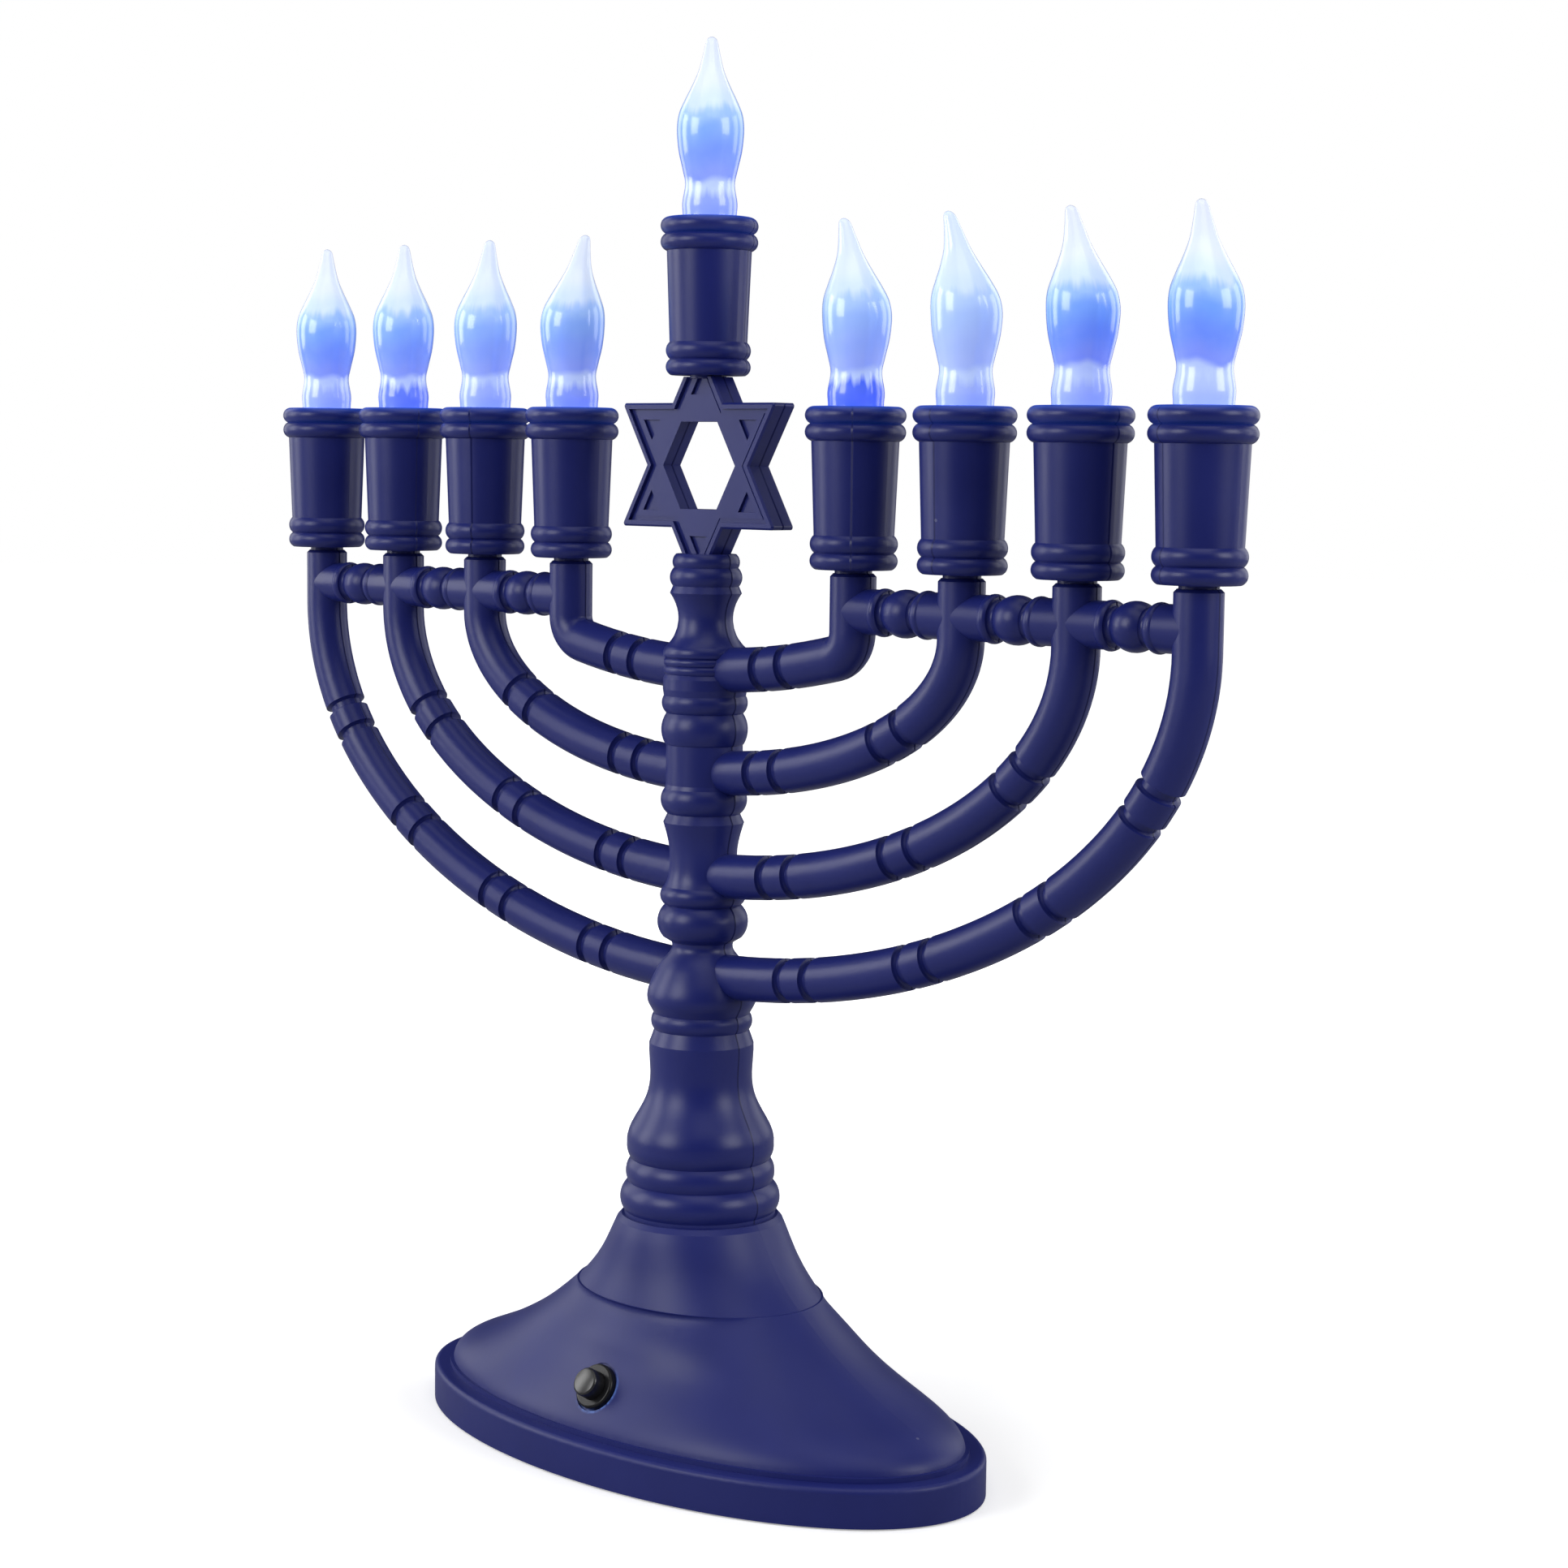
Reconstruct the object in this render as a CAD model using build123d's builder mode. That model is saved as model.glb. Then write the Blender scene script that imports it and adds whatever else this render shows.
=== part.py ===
from build123d import *
import math
import os

# Electric nine-light menorah, millimetres. +Z up, the stem's axis on X = Y = 0, the table at Z = 0,
# the arms spread along X and the front faces -Y.

# ---- Driving dimensions ----------------------------------------------------------------------
BASE_RADII = (82.0, 43.0)  # half-axes of the oval rim
RIM_BOTTOM = 0.4
RIM_TOP = 9.4
RIM_ROUND = 1.2
STEP_RADII = (77.8, 39.3)  # low step between the rim and the dome
STEP_TOP = 10.6
WALL = 2.3
# dome sections as (height, half-length, half-depth)
DOME_LOWER = [
    (10.6, 76.8, 38.5),
    (12.0, 76.2, 38.1),
    (14.5, 73.4, 36.8),
    (17.5, 67.0, 34.9),
    (21.0, 58.8, 32.6),
    (26.0, 49.2, 29.8),
    (31.0, 41.4, 27.5),
    (37.6, 33.0, 24.9),
]
DOME_UPPER = [
    (37.6, 32.5, 24.4),
    (42.0, 27.9, 22.9),
    (46.0, 24.6, 21.8),
    (50.0, 22.0, 20.9),
    (54.3, 19.7, 19.6),
]
DOME_TOP = 55.5
DOME_TOP_RADIUS = 18.6
TENON_RADIUS = 11.0
TENON_END = 44.5

ARM_RADII = [(46.0, 10.6), (77.5, 34.6), (108.9, 58.8), (140.0, 82.5)]  # half-ellipses, inner to outer
ARM_CENTRE_Z = 195.2
ARM_TUBE = 5.2
ARM_BEND = 6.2
ARM_BORE = 3.5
ARM_TOP = 208.4
ARM_BEVEL = 0.7
# where each arm's collars stand, as ellipse angles below the horizontal
COLLAR_ANGLES = [[58.6], [73.3, 39.3], [75.8, 54.2, 28.9], [76.5, 60.6, 42.8, 22.2]]
COLLAR_PITCH = 8.0
# one groove beside a collar as (radius, distance along the arm)
COLLAR_GROOVE = [
    (6.2, -1.3),
    (5.3, -1.3),
    (4.6, -1.1),
    (4.05, -0.75),
    (4.05, 0.75),
    (4.6, 1.1),
    (5.3, 1.3),
    (6.2, 1.3),
]
LINK_Z = 200.0
LINK_RADIUS = 5.1
# half of a link bar's turning as (distance from its middle, radius): lip, groove and the whole bead
LINK_PROFILE = [
    [(7.2, LINK_RADIUS), (6.1, 5.4), (5.1, 4.9)],
    [(5.1, 4.9), (4.25, 3.8), (3.4, 4.3)],
    [(-3.4, 4.3), (0, 5.4), (3.4, 4.3)],
]
SPIGOT_RADIUS = 4.2
SPIGOT_BORE = 2.8
SPIGOT_LENGTH = 5.6

STAR_Z = 231.8
STAR_RADIUS = 28.8
STAR_HALF_DEPTH = 3.6
STAR_RIM = 1.4
STAR_CHANNEL = 1.0
STAR_CHANNEL_DEPTH = 0.9
STAR_PANEL_HALF_DEPTH = 2.85
STAR_HOLE_RADIUS = 11.66
STAR_TOP = 252.2
STAR_TIP_ROUND = 0.7
STAR_EDGE = 0.45
STAR_HOLE_RIM = 1.7
STAR_HOLLOW = 4.4  # how far the hollow behind the front stays inside the star's points
STAR_HOLLOW_DEPTH = 0.9
STAR_TRIANGLE = 3.15
STAR_TRIANGLE_REACH = 17.9
STAR_TRIANGLE_DEPTH = 0.7
WIRE_HOLE = 2.0
LED_WIRE_HOLE = 0.9
ARM_REACH = 4.5  # how near the stem's axis an arm starts before the stem is cut away from it

CUP_BOTTOM = 209.2
CUP_HEIGHT = 36.1
CUP_BORE = 6.6
CUP_FLOOR = 20.0
SHAMASH_RISE = 43.3

FLAME_HEIGHT = 41.4
FLAME_BASE_RADIUS = 6.2
FLAME_SEAT = 8.0
FLAME_BEND = 4.4
# how far each candle's flame is turned in its cup, left to right, the shamash last
FLAME_TURNS = [138.0, 137.0, 125.0, 93.0, 180.0, 212.0, 173.0, 146.0, 133.0]

BUTTON_Z = 19.7
BUTTON_BEZEL = 5.35
BUTTON_BARREL = 4.0
BUTTON_CAP = 3.35
BUTTON_PROUD = 3.3
BUTTON_TRAVEL = 1.8

PLATE_RADII = (79.2, 40.2)
PLATE_BOTTOM = 1.4
PLATE_TOP = 3.2
CELL_RADIUS = 7.1
CELL_LENGTH = 49.2
CELL_PITCH = 14.5
BAY_LENGTH = 55.2
BAY_WIDTH = 43.8
BAY_Y = 2.3
BAY_WALL = 1.2
BAY_CEILING = 18.1
DOOR_GAP = 0.4
DOOR_BARREL = 1.1
SCREW_SPOTS = [(58.0, 13.0), (-58.0, 13.0), (58.0, -13.0), (-58.0, -13.0)]
SCREW_POST = 3.4
SCREW_HOLE = 1.15
SCREW_SHANK = 1.1
SCREW_PASSAGE = 1.6

CUP_X = [-x for x, _ in reversed(ARM_RADII)] + [x for x, _ in ARM_RADII]
CUP_NAMES = ["cup_" + str(n) for n in range(1, 9)] + ["cup_shamash"]
CUP_PLACES = [(x, CUP_BOTTOM) for x in CUP_X] + [(0.0, CUP_BOTTOM + SHAMASH_RISE)]
RIM_PLACES = [(x, z + CUP_HEIGHT) for x, z in CUP_PLACES]

os.makedirs("parts", exist_ok=True)
written = []


def write(builder, name):
    """Labels a finished piece and writes its STEP file."""
    builder.part.label = name
    export_step(builder.part, "parts/" + name + ".step")
    written.append(name)


def draw_stretches(stretches):
    """Draws an outline from stretches of points: two make a line, three an arc, more a smooth curve."""
    for points in stretches:
        if len(points) == 2:
            Line(*points)
        elif len(points) == 3:
            ThreePointArc(*points)
        else:
            Spline(*points)


# ---- Base cover ------------------------------------------------------------------------------


def oval_loft(sections):
    """A smooth solid through oval sections, each (height, half-length, half-depth)."""
    with BuildPart() as body:
        for height, half_length, half_depth in sections:
            with BuildSketch(Plane.XY.offset(height)):
                Ellipse(half_length, half_depth)
        loft()
    return body.part


def inset(sections, wall, drop):
    """The sections of the inner face, a wall's thickness inside and a little lower."""
    return [(z - drop, a - wall, b - wall) for z, a, b in sections]


def dome_half_depth(height):
    """Half-depth of the lower dome at a height, between its sections."""
    for (z0, _, b0), (z1, _, b1) in zip(DOME_LOWER, DOME_LOWER[1:]):
        if z0 <= height <= z1:
            return b0 + (b1 - b0) * (height - z0) / (z1 - z0)
    return DOME_LOWER[-1][2]


BUTTON_SLOPE = 30.0
BUTTON_NORMAL = (0, -math.cos(math.radians(BUTTON_SLOPE)), math.sin(math.radians(BUTTON_SLOPE)))
BUTTON_PLANE = Plane(
    origin=(0, -dome_half_depth(BUTTON_Z), BUTTON_Z), x_dir=(1, 0, 0), z_dir=BUTTON_NORMAL
)
BUTTON_AXIS = Axis((0, 0, 0), BUTTON_NORMAL)

dome_cap = [(54.3, 19.7, 19.6), (DOME_TOP, DOME_TOP_RADIUS, DOME_TOP_RADIUS)]
dome_hollow = inset(DOME_LOWER[:-1] + DOME_UPPER, WALL, 2.0)
dome_hollow[0] = (7.4, dome_hollow[0][1], dome_hollow[0][2])

with BuildPart() as dome_solid:
    add(oval_loft(DOME_LOWER))
    add(oval_loft(DOME_UPPER))
    add(oval_loft(dome_cap))

with BuildPart() as screw_posts:
    with BuildSketch(Plane.XY.offset(PLATE_TOP)):
        with Locations(*SCREW_SPOTS):
            Circle(SCREW_POST)
    extrude(amount=30)
    add(dome_solid.part, mode=Mode.INTERSECT)

with BuildPart() as post_feet:
    with BuildSketch(Plane.XY.offset(PLATE_TOP)):
        with Locations(*SCREW_SPOTS):
            Circle(SCREW_POST)
    extrude(amount=STEP_TOP - PLATE_TOP + 0.2)

with BuildPart() as base_cover:
    with BuildSketch(Plane.XY.offset(RIM_BOTTOM)):
        Ellipse(*BASE_RADII)
    extrude(amount=RIM_TOP - RIM_BOTTOM)
    fillet(base_cover.faces().sort_by(Axis.Z)[-1].edges(), RIM_ROUND)
    with BuildSketch(Plane.XY.offset(RIM_TOP)):
        Ellipse(*STEP_RADII)
    extrude(amount=STEP_TOP - RIM_TOP)
    add(dome_solid.part)
    with BuildSketch(Plane.XY.offset(RIM_BOTTOM)):
        Ellipse(BASE_RADII[0] - WALL, BASE_RADII[1] - WALL)
    extrude(amount=RIM_TOP - WALL - RIM_BOTTOM, mode=Mode.SUBTRACT)
    add(oval_loft([(6.0, 74.5, 36.2), (7.4, 74.5, 36.2)]), mode=Mode.SUBTRACT)
    add(oval_loft(dome_hollow), mode=Mode.SUBTRACT)
    add(screw_posts.part)
    add(post_feet.part)
    with Locations(*[(x, y, PLATE_TOP) for x, y in SCREW_SPOTS]):
        Cylinder(SCREW_HOLE, 7.0, align=(Align.CENTER, Align.CENTER, Align.MIN), mode=Mode.SUBTRACT)
    with Locations((0, 0, DOME_TOP)):
        Cylinder(TENON_RADIUS + 0.2, 20, mode=Mode.SUBTRACT)
    with BuildSketch(BUTTON_PLANE.offset(-0.5)):
        Circle(BUTTON_BEZEL + 0.5)
    extrude(amount=12, mode=Mode.SUBTRACT)
    with BuildSketch(BUTTON_PLANE.offset(-8)):
        Circle(BUTTON_BARREL + 0.1)
    extrude(amount=9, mode=Mode.SUBTRACT)
write(base_cover, "base_cover")

# ---- Bottom plate with its battery bay ---------------------------------------------------------

BAY_PLANE = Plane.XY.offset(PLATE_BOTTOM)
BAY_CENTRE = (0, BAY_Y)
HINGE_X = -BAY_LENGTH / 2 + DOOR_GAP + DOOR_BARREL
HINGE_Z = PLATE_BOTTOM + DOOR_BARREL
HINGE_PIN = 0.7
HINGE_FIT = 0.08
FOOT_SPOTS = [(50.0, 22.0), (-50.0, 22.0), (50.0, -22.0), (-50.0, -22.0)]
BOARD_X = 44.0
BOARD_SIZE = (20.0, 26.0, 1.6)
BOARD_Z = 6.4
BOARD_SCREWS = [(BOARD_X, 9.5), (BOARD_X, -9.5)]

with BuildPart() as bottom_plate:
    with BuildSketch(BAY_PLANE):
        Ellipse(*PLATE_RADII)
    extrude(amount=PLATE_TOP - PLATE_BOTTOM)
    with BuildSketch(BAY_PLANE):
        with Locations(BAY_CENTRE):
            Rectangle(BAY_LENGTH + 2 * BAY_WALL, BAY_WIDTH + 2 * BAY_WALL)
    extrude(amount=BAY_CEILING + BAY_WALL - PLATE_BOTTOM)
    with BuildSketch(BAY_PLANE):
        with Locations(BAY_CENTRE):
            Rectangle(BAY_LENGTH, BAY_WIDTH)
    extrude(amount=BAY_CEILING - PLATE_BOTTOM, mode=Mode.SUBTRACT)
    with BuildSketch(Plane.XZ.offset(-BAY_Y)):
        with Locations((HINGE_X, HINGE_Z)):
            Circle(HINGE_PIN + HINGE_FIT)
    extrude(amount=BAY_WIDTH / 2 + 0.9, both=True, mode=Mode.SUBTRACT)
    with BuildSketch(Plane.XY.offset(PLATE_TOP)):
        with Locations(*BOARD_SCREWS):
            Circle(2.6)
    extrude(amount=BOARD_Z - PLATE_TOP)
    with BuildSketch(Plane.XY.offset(BOARD_Z)):
        with Locations(*BOARD_SCREWS):
            Circle(0.95)
    extrude(amount=-2.8, mode=Mode.SUBTRACT)
    with Locations(*[(x, y, PLATE_BOTTOM) for x, y in SCREW_SPOTS]):
        Cylinder(SCREW_PASSAGE, 6, mode=Mode.SUBTRACT)
write(bottom_plate, "bottom_plate")

with BuildPart() as battery_door:
    with BuildSketch(BAY_PLANE):
        with Locations(((HINGE_X + BAY_LENGTH / 2 - DOOR_GAP) / 2, BAY_Y)):
            Rectangle(BAY_LENGTH / 2 - DOOR_GAP - HINGE_X, BAY_WIDTH - 2 * DOOR_GAP)
    extrude(amount=PLATE_TOP - PLATE_BOTTOM)
    with BuildSketch(Plane.XZ.offset(-BAY_Y)):
        with Locations((HINGE_X, HINGE_Z)):
            Circle(DOOR_BARREL)
    extrude(amount=BAY_WIDTH / 2 - DOOR_GAP, both=True)
    with BuildSketch(Plane.XZ.offset(-BAY_Y)):
        with Locations((HINGE_X, HINGE_Z)):
            Circle(HINGE_PIN)
    extrude(amount=BAY_WIDTH / 2 + 0.7, both=True)
    with Locations((BAY_LENGTH / 2 - DOOR_GAP - 0.6, BAY_Y, PLATE_TOP)):
        Box(1.2, 9, 2.6, align=(Align.CENTER, Align.CENTER, Align.MIN))
    with Locations((BAY_LENGTH / 2 - 3.4, BAY_Y, PLATE_BOTTOM)):
        Cylinder(2.6, 1.4, align=(Align.CENTER, Align.CENTER, Align.CENTER), mode=Mode.SUBTRACT)
write(battery_door, "battery_door")

with BuildPart() as rubber_feet:
    with BuildSketch():
        with Locations(*FOOT_SPOTS):
            Circle(4.5)
    extrude(amount=PLATE_BOTTOM)
    chamfer(rubber_feet.edges().group_by(Axis.Z)[0], 0.4)
write(rubber_feet, "rubber_feet")


def pan_screw(head_radius, head_height, shank_radius, length):
    """A cross-head screw, its head's underside on the plane and its shank along +Z."""
    with BuildPart() as screw:
        Cylinder(shank_radius, length, align=(Align.CENTER, Align.CENTER, Align.MIN))
        Cylinder(head_radius, head_height, align=(Align.CENTER, Align.CENTER, Align.MAX))
        fillet(screw.edges().group_by(Axis.Z)[0], head_height * 0.45)
        with Locations((0, 0, -head_height)):
            Box(head_radius * 1.2, 0.6, head_height, mode=Mode.SUBTRACT)
            Box(0.6, head_radius * 1.2, head_height, mode=Mode.SUBTRACT)
    return screw.part


with BuildPart() as base_screws:
    with Locations(*[(x, y, PLATE_BOTTOM) for x, y in SCREW_SPOTS]):
        add(pan_screw(2.7, 1.2, SCREW_SHANK, 8.0))
write(base_screws, "base_screws")

# ---- Batteries, contacts and circuit board ------------------------------------------------------

CELL_Z = 3.8 + CELL_RADIUS
CELL_YS = [BAY_Y + k * CELL_PITCH for k in (-1, 0, 1)]
CELL_SIGNS = [1, -1, 1]
CELL_SHIFT = 1.2

for n, (cell_y, sign) in enumerate(zip(CELL_YS, CELL_SIGNS), start=1):
    flat_end = Plane(
        origin=(sign * (CELL_SHIFT - CELL_LENGTH / 2), cell_y, CELL_Z), z_dir=(sign, 0, 0)
    )
    with BuildPart(flat_end) as battery:
        Cylinder(CELL_RADIUS, CELL_LENGTH, align=(Align.CENTER, Align.CENTER, Align.MIN))
        fillet(battery.edges(), 0.5)
        with Locations((0, 0, CELL_LENGTH)):
            Cylinder(2.75, 1.0, align=(Align.CENTER, Align.CENTER, Align.MIN))
    write(battery, "battery_" + str(n))

with BuildPart() as battery_contacts:
    for cell_y, sign in zip(CELL_YS, CELL_SIGNS):
        with Locations((sign * (BAY_LENGTH / 2 - 0.2), cell_y, CELL_Z)):
            Box(0.4, 9, 9)
write(battery_contacts, "battery_contacts")

SPRING_LENGTH = BAY_LENGTH / 2 + CELL_SHIFT - CELL_LENGTH / 2
CONTACT_WIRE = 0.4


def coil_spring(radius, length, turns, wire):
    """A coil of round wire standing on the XY plane."""
    rise = length - 2 * wire
    with BuildPart() as spring:
        with BuildLine(Plane.XY.offset(wire)) as coil:
            Helix(rise / turns, rise, radius)
        with BuildSketch(Plane(coil.line @ 0, z_dir=coil.line % 0)):
            Circle(wire)
        sweep(path=coil.line, is_frenet=True)
    return spring.part


contact_coil = coil_spring(4.2, SPRING_LENGTH - 0.1, 3, CONTACT_WIRE)

with BuildPart() as battery_springs:
    for cell_y, sign in zip(CELL_YS, CELL_SIGNS):
        with Locations(Plane(origin=(-sign * BAY_LENGTH / 2, cell_y, CELL_Z), z_dir=(sign, 0, 0))):
            add(contact_coil)
write(battery_springs, "battery_springs")

with BuildPart() as circuit_board:
    with BuildSketch(Plane.XY.offset(BOARD_Z)):
        with Locations((BOARD_X, 0)):
            RectangleRounded(BOARD_SIZE[0], BOARD_SIZE[1], 1.5)
        with Locations(*BOARD_SCREWS):
            Circle(1.2, mode=Mode.SUBTRACT)
    extrude(amount=BOARD_SIZE[2])
write(circuit_board, "circuit_board")

BOARD_TOP = BOARD_Z + BOARD_SIZE[2]

with BuildPart() as board_screws:
    with Locations(*[Pos(x, y, BOARD_TOP) * Rot(180, 0, 0) for x, y in BOARD_SCREWS]):
        add(pan_screw(1.9, 1.1, 0.9, 4.2))
write(board_screws, "board_screws")

with BuildPart() as control_chip:
    with Locations((BOARD_X - 2.5, 0, BOARD_TOP + 0.9)):
        Box(3.9, 8.7, 1.3)
    with Locations((BOARD_X - 2.5, 0, BOARD_TOP)):
        with GridLocations(5.4, 1.27, 2, 6):
            Box(1.5, 0.42, 0.7, align=(Align.CENTER, Align.CENTER, Align.MIN))
write(control_chip, "control_chip")

with BuildPart() as wire_socket:
    with Locations((BOARD_X + 6.2, 0, BOARD_TOP)):
        Box(5.6, 14, 5.8, align=(Align.CENTER, Align.CENTER, Align.MIN))
    with Locations((BOARD_X + 6.2, 0, BOARD_TOP + 1.4)):
        Box(3.8, 12.4, 6, align=(Align.CENTER, Align.CENTER, Align.MIN), mode=Mode.SUBTRACT)
write(wire_socket, "wire_socket")

# ---- Candelabrum: stem, arms, link bars and star, split into front and rear shells -----------------

STEM_TOP = 211.4
STEM_STRETCHES = [
    # three collars under the star
    [(0.0, STEM_TOP), (7.0, STEM_TOP)],
    [(7.0, STEM_TOP), (7.85, 209.7), (7.5, 208.2)],
    [(7.5, 208.2), (8.45, 206.1), (7.72, 203.9)],
    [(7.72, 203.9), (8.4, 202.3)],
    # hollow neck
    [(8.4, 202.3), (6.9, 199.4), (6.38, 196.6), (6.9, 193.4), (9.3, 189.8)],
    # bands round the inner arms
    [(9.3, 189.8), (9.75, 189.0), (9.75, 187.6)],
    [(9.75, 187.6), (9.3, 187.2)],
    [(9.3, 187.2), (9.75, 186.3), (9.3, 185.4)],
    [(9.3, 185.4), (9.75, 184.4), (9.3, 183.4)],
    [(9.3, 183.4), (9.85, 182.4)],
    [(9.85, 182.4), (9.85, 179.9)],
    [(9.85, 179.9), (9.6, 178.4)],
    [(9.6, 178.4), (10.05, 176.4), (9.0, 174.3)],
    [(9.0, 174.3), (10.15, 170.4), (9.3, 167.2)],
    # plain length round the second arms
    [(9.3, 167.2), (9.0, 166.9)],
    [(9.0, 166.9), (9.0, 157.6)],
    [(9.0, 157.6), (9.3, 156.6)],
    [(9.3, 156.6), (10.15, 153.9), (8.55, 150.7)],
    [(8.55, 150.7), (9.5, 148.7)],
    # plain length round the third arms
    [(9.5, 148.7), (8.55, 145.4), (8.0, 142.3), (7.95, 139.0), (8.2, 136.2), (9.1, 133.6)],
    [(9.1, 133.6), (10.1, 131.6), (8.95, 129.2)],
    [(8.95, 129.2), (10.68, 124.8), (9.3, 121.6)],
    [(9.3, 121.6), (7.3, 120.4)],
    # bell round the outer arms
    [
        (7.3, 120.4),
        (7.15, 119.2),
        (9.0, 116.4),
        (11.2, 112.9),
        (12.6, 109.6),
        (12.95, 107.6),
        (12.3, 105.2),
    ],
    [(12.3, 105.2), (11.35, 103.5)],
    [(11.35, 103.5), (11.97, 101.6), (11.2, 99.6)],
    # long waist and belly
    [(11.2, 99.6), (12.35, 96.4)],
    [
        (12.35, 96.4),
        (12.37, 94.8),
        (12.05, 88.6),
        (12.9, 83.6),
        (15.2, 79.0),
        (17.0, 75.4),
        (17.42, 72.4),
    ],
    [(17.42, 72.4), (17.35, 70.8), (16.5, 68.8)],
    [(16.5, 68.8), (17.66, 65.7), (17.1, 63.3)],
    [(17.1, 63.3), (18.95, 59.4), (17.9, 56.4)],
    # tenon through the base
    [(17.9, 56.4), (17.9, DOME_TOP)],
    [(17.9, DOME_TOP), (TENON_RADIUS, DOME_TOP)],
    [(TENON_RADIUS, DOME_TOP), (TENON_RADIUS, TENON_END)],
    [(TENON_RADIUS, TENON_END), (0.0, TENON_END)],
    [(0.0, TENON_END), (0.0, STEM_TOP)],
]
STEM_BORE_TOP = [(1.0, STEM_TOP), (7.0, STEM_TOP)]
STEM_BORE = [
    [(TENON_RADIUS, TENON_END), (8.5, TENON_END)],
    [(8.5, TENON_END), (9.2, 108.0)],
    [(9.2, 108.0), (4.6, 116.5)],
    [(4.6, 116.5), (4.4, STEM_TOP - 1.5)],
    [(4.4, STEM_TOP - 1.5), (1.0, STEM_TOP - 1.5)],
    [(1.0, STEM_TOP - 1.5), (1.0, STEM_TOP)],
]


def turned(stretches):
    """A solid turned round the stem's axis from its outline in the XZ plane."""
    with BuildPart() as body:
        with BuildSketch(Plane.XZ):
            with BuildLine():
                draw_stretches(stretches)
            make_face()
        revolve(axis=Axis.Z)
    return body.part


def arm_path(half_width, half_drop, top):
    """The middle line of a right-hand arm: out from the stem in an oval sweep, then straight up."""
    with BuildLine(Plane.XZ) as path:
        if half_drop**2 / half_width < ARM_TUBE:
            # the innermost arm: a flat sweep and a tight bend, where an ellipse would fold on itself
            reach = half_width - ARM_BEND
            sweep_radius = (reach**2 + half_drop**2 - ARM_BEND**2) / (2 * (half_drop - ARM_BEND))
            turn = math.degrees(math.atan2(reach, sweep_radius - half_drop))
            start = math.degrees(math.asin(ARM_REACH / sweep_radius))
            middle = (0, ARM_CENTRE_Z - half_drop + sweep_radius)
            CenterArc(middle, sweep_radius, 270 + start, turn - start)
            CenterArc((reach, ARM_CENTRE_Z), ARM_BEND, 270 + turn, 90 - turn)
        else:
            start = math.degrees(math.acos(ARM_REACH / half_width))
            EllipticalCenterArc(
                (0, ARM_CENTRE_Z), half_width, half_drop, start_angle=360 - start, arc_size=start
            )
        Line((half_width, ARM_CENTRE_Z), (half_width, top))
    return path.wire()


def half_disc(radius):
    """Half of a round section, above the sketch's own X axis."""
    with BuildSketch() as half:
        with BuildLine():
            CenterArc((0, 0), radius, 0, 180)
            Line((radius, 0), (-radius, 0))
        make_face()
    return half.sketch


def arm_rod(half_width, half_drop, radius, top, whole=False):
    """A rod along a right-hand arm, its front half or the whole round."""
    path = arm_path(half_width, half_drop, top)
    across = Plane(origin=path @ 0, x_dir=Vector(0, -1, 0).cross(path % 0), z_dir=path % 0)
    with BuildPart() as rod:
        with BuildSketch(across):
            if whole:
                Circle(radius)
            else:
                add(half_disc(radius))
        sweep(path=path)
    return rod.part


with BuildPart() as groove_ring:
    with BuildSketch(Plane.XZ):
        Polygon(*COLLAR_GROOVE, align=None)
    revolve(axis=Axis.Z)


def collar_grooves(half_width, half_drop, angle):
    """Planes square to a right-hand arm at the two grooves beside one collar."""
    planes = []
    middle = -math.radians(angle)
    speed = math.hypot(half_width * math.sin(middle), half_drop * math.cos(middle))
    for half in (-1, 1):
        turn = middle + half * COLLAR_PITCH / 2 / speed
        place = (half_width * math.cos(turn), 0, ARM_CENTRE_Z + half_drop * math.sin(turn))
        along = (-half_width * math.sin(turn), 0, half_drop * math.cos(turn))
        planes.append(Plane(origin=place, x_dir=(0, 1, 0), z_dir=along))
    return planes


def half_round(start, direction, radius, length, end_radius=None):
    """The front half of a straight or tapered round bar lying in the XZ plane."""
    foot = Plane(origin=start, x_dir=Vector(0, -1, 0).cross(Vector(*direction)), z_dir=direction)
    with BuildPart() as bar:
        with BuildSketch(foot):
            add(half_disc(radius))
        with BuildSketch(foot.offset(length)):
            add(half_disc(end_radius or radius))
        loft()
    return bar.part


def link_bar(inner, outer):
    """The front half of the turned bar between two arms, a bead between two deep grooves."""
    middle = (inner + outer) / 2
    lip, trough, bead = LINK_PROFILE
    with BuildPart() as bar:
        with BuildSketch(Plane.XZ):
            with BuildLine():
                for side, end in ((-1, inner), (1, outer)):
                    Line((end, LINK_Z), (end, LINK_Z + LINK_RADIUS))
                    Line((end, LINK_Z + LINK_RADIUS), (middle + side * lip[0][0], LINK_Z + lip[0][1]))
                    ThreePointArc(*[(middle + side * along, LINK_Z + out) for along, out in lip])
                    ThreePointArc(*[(middle + side * along, LINK_Z + out) for along, out in trough])
                ThreePointArc(*[(middle + along, LINK_Z + out) for along, out in bead])
                Line((inner, LINK_Z), (outer, LINK_Z))
            make_face()
        revolve(axis=Axis((0, 0, LINK_Z), (1, 0, 0)), revolution_arc=180)
    return bar.part


stem_solid = turned(STEM_STRETCHES)

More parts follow.
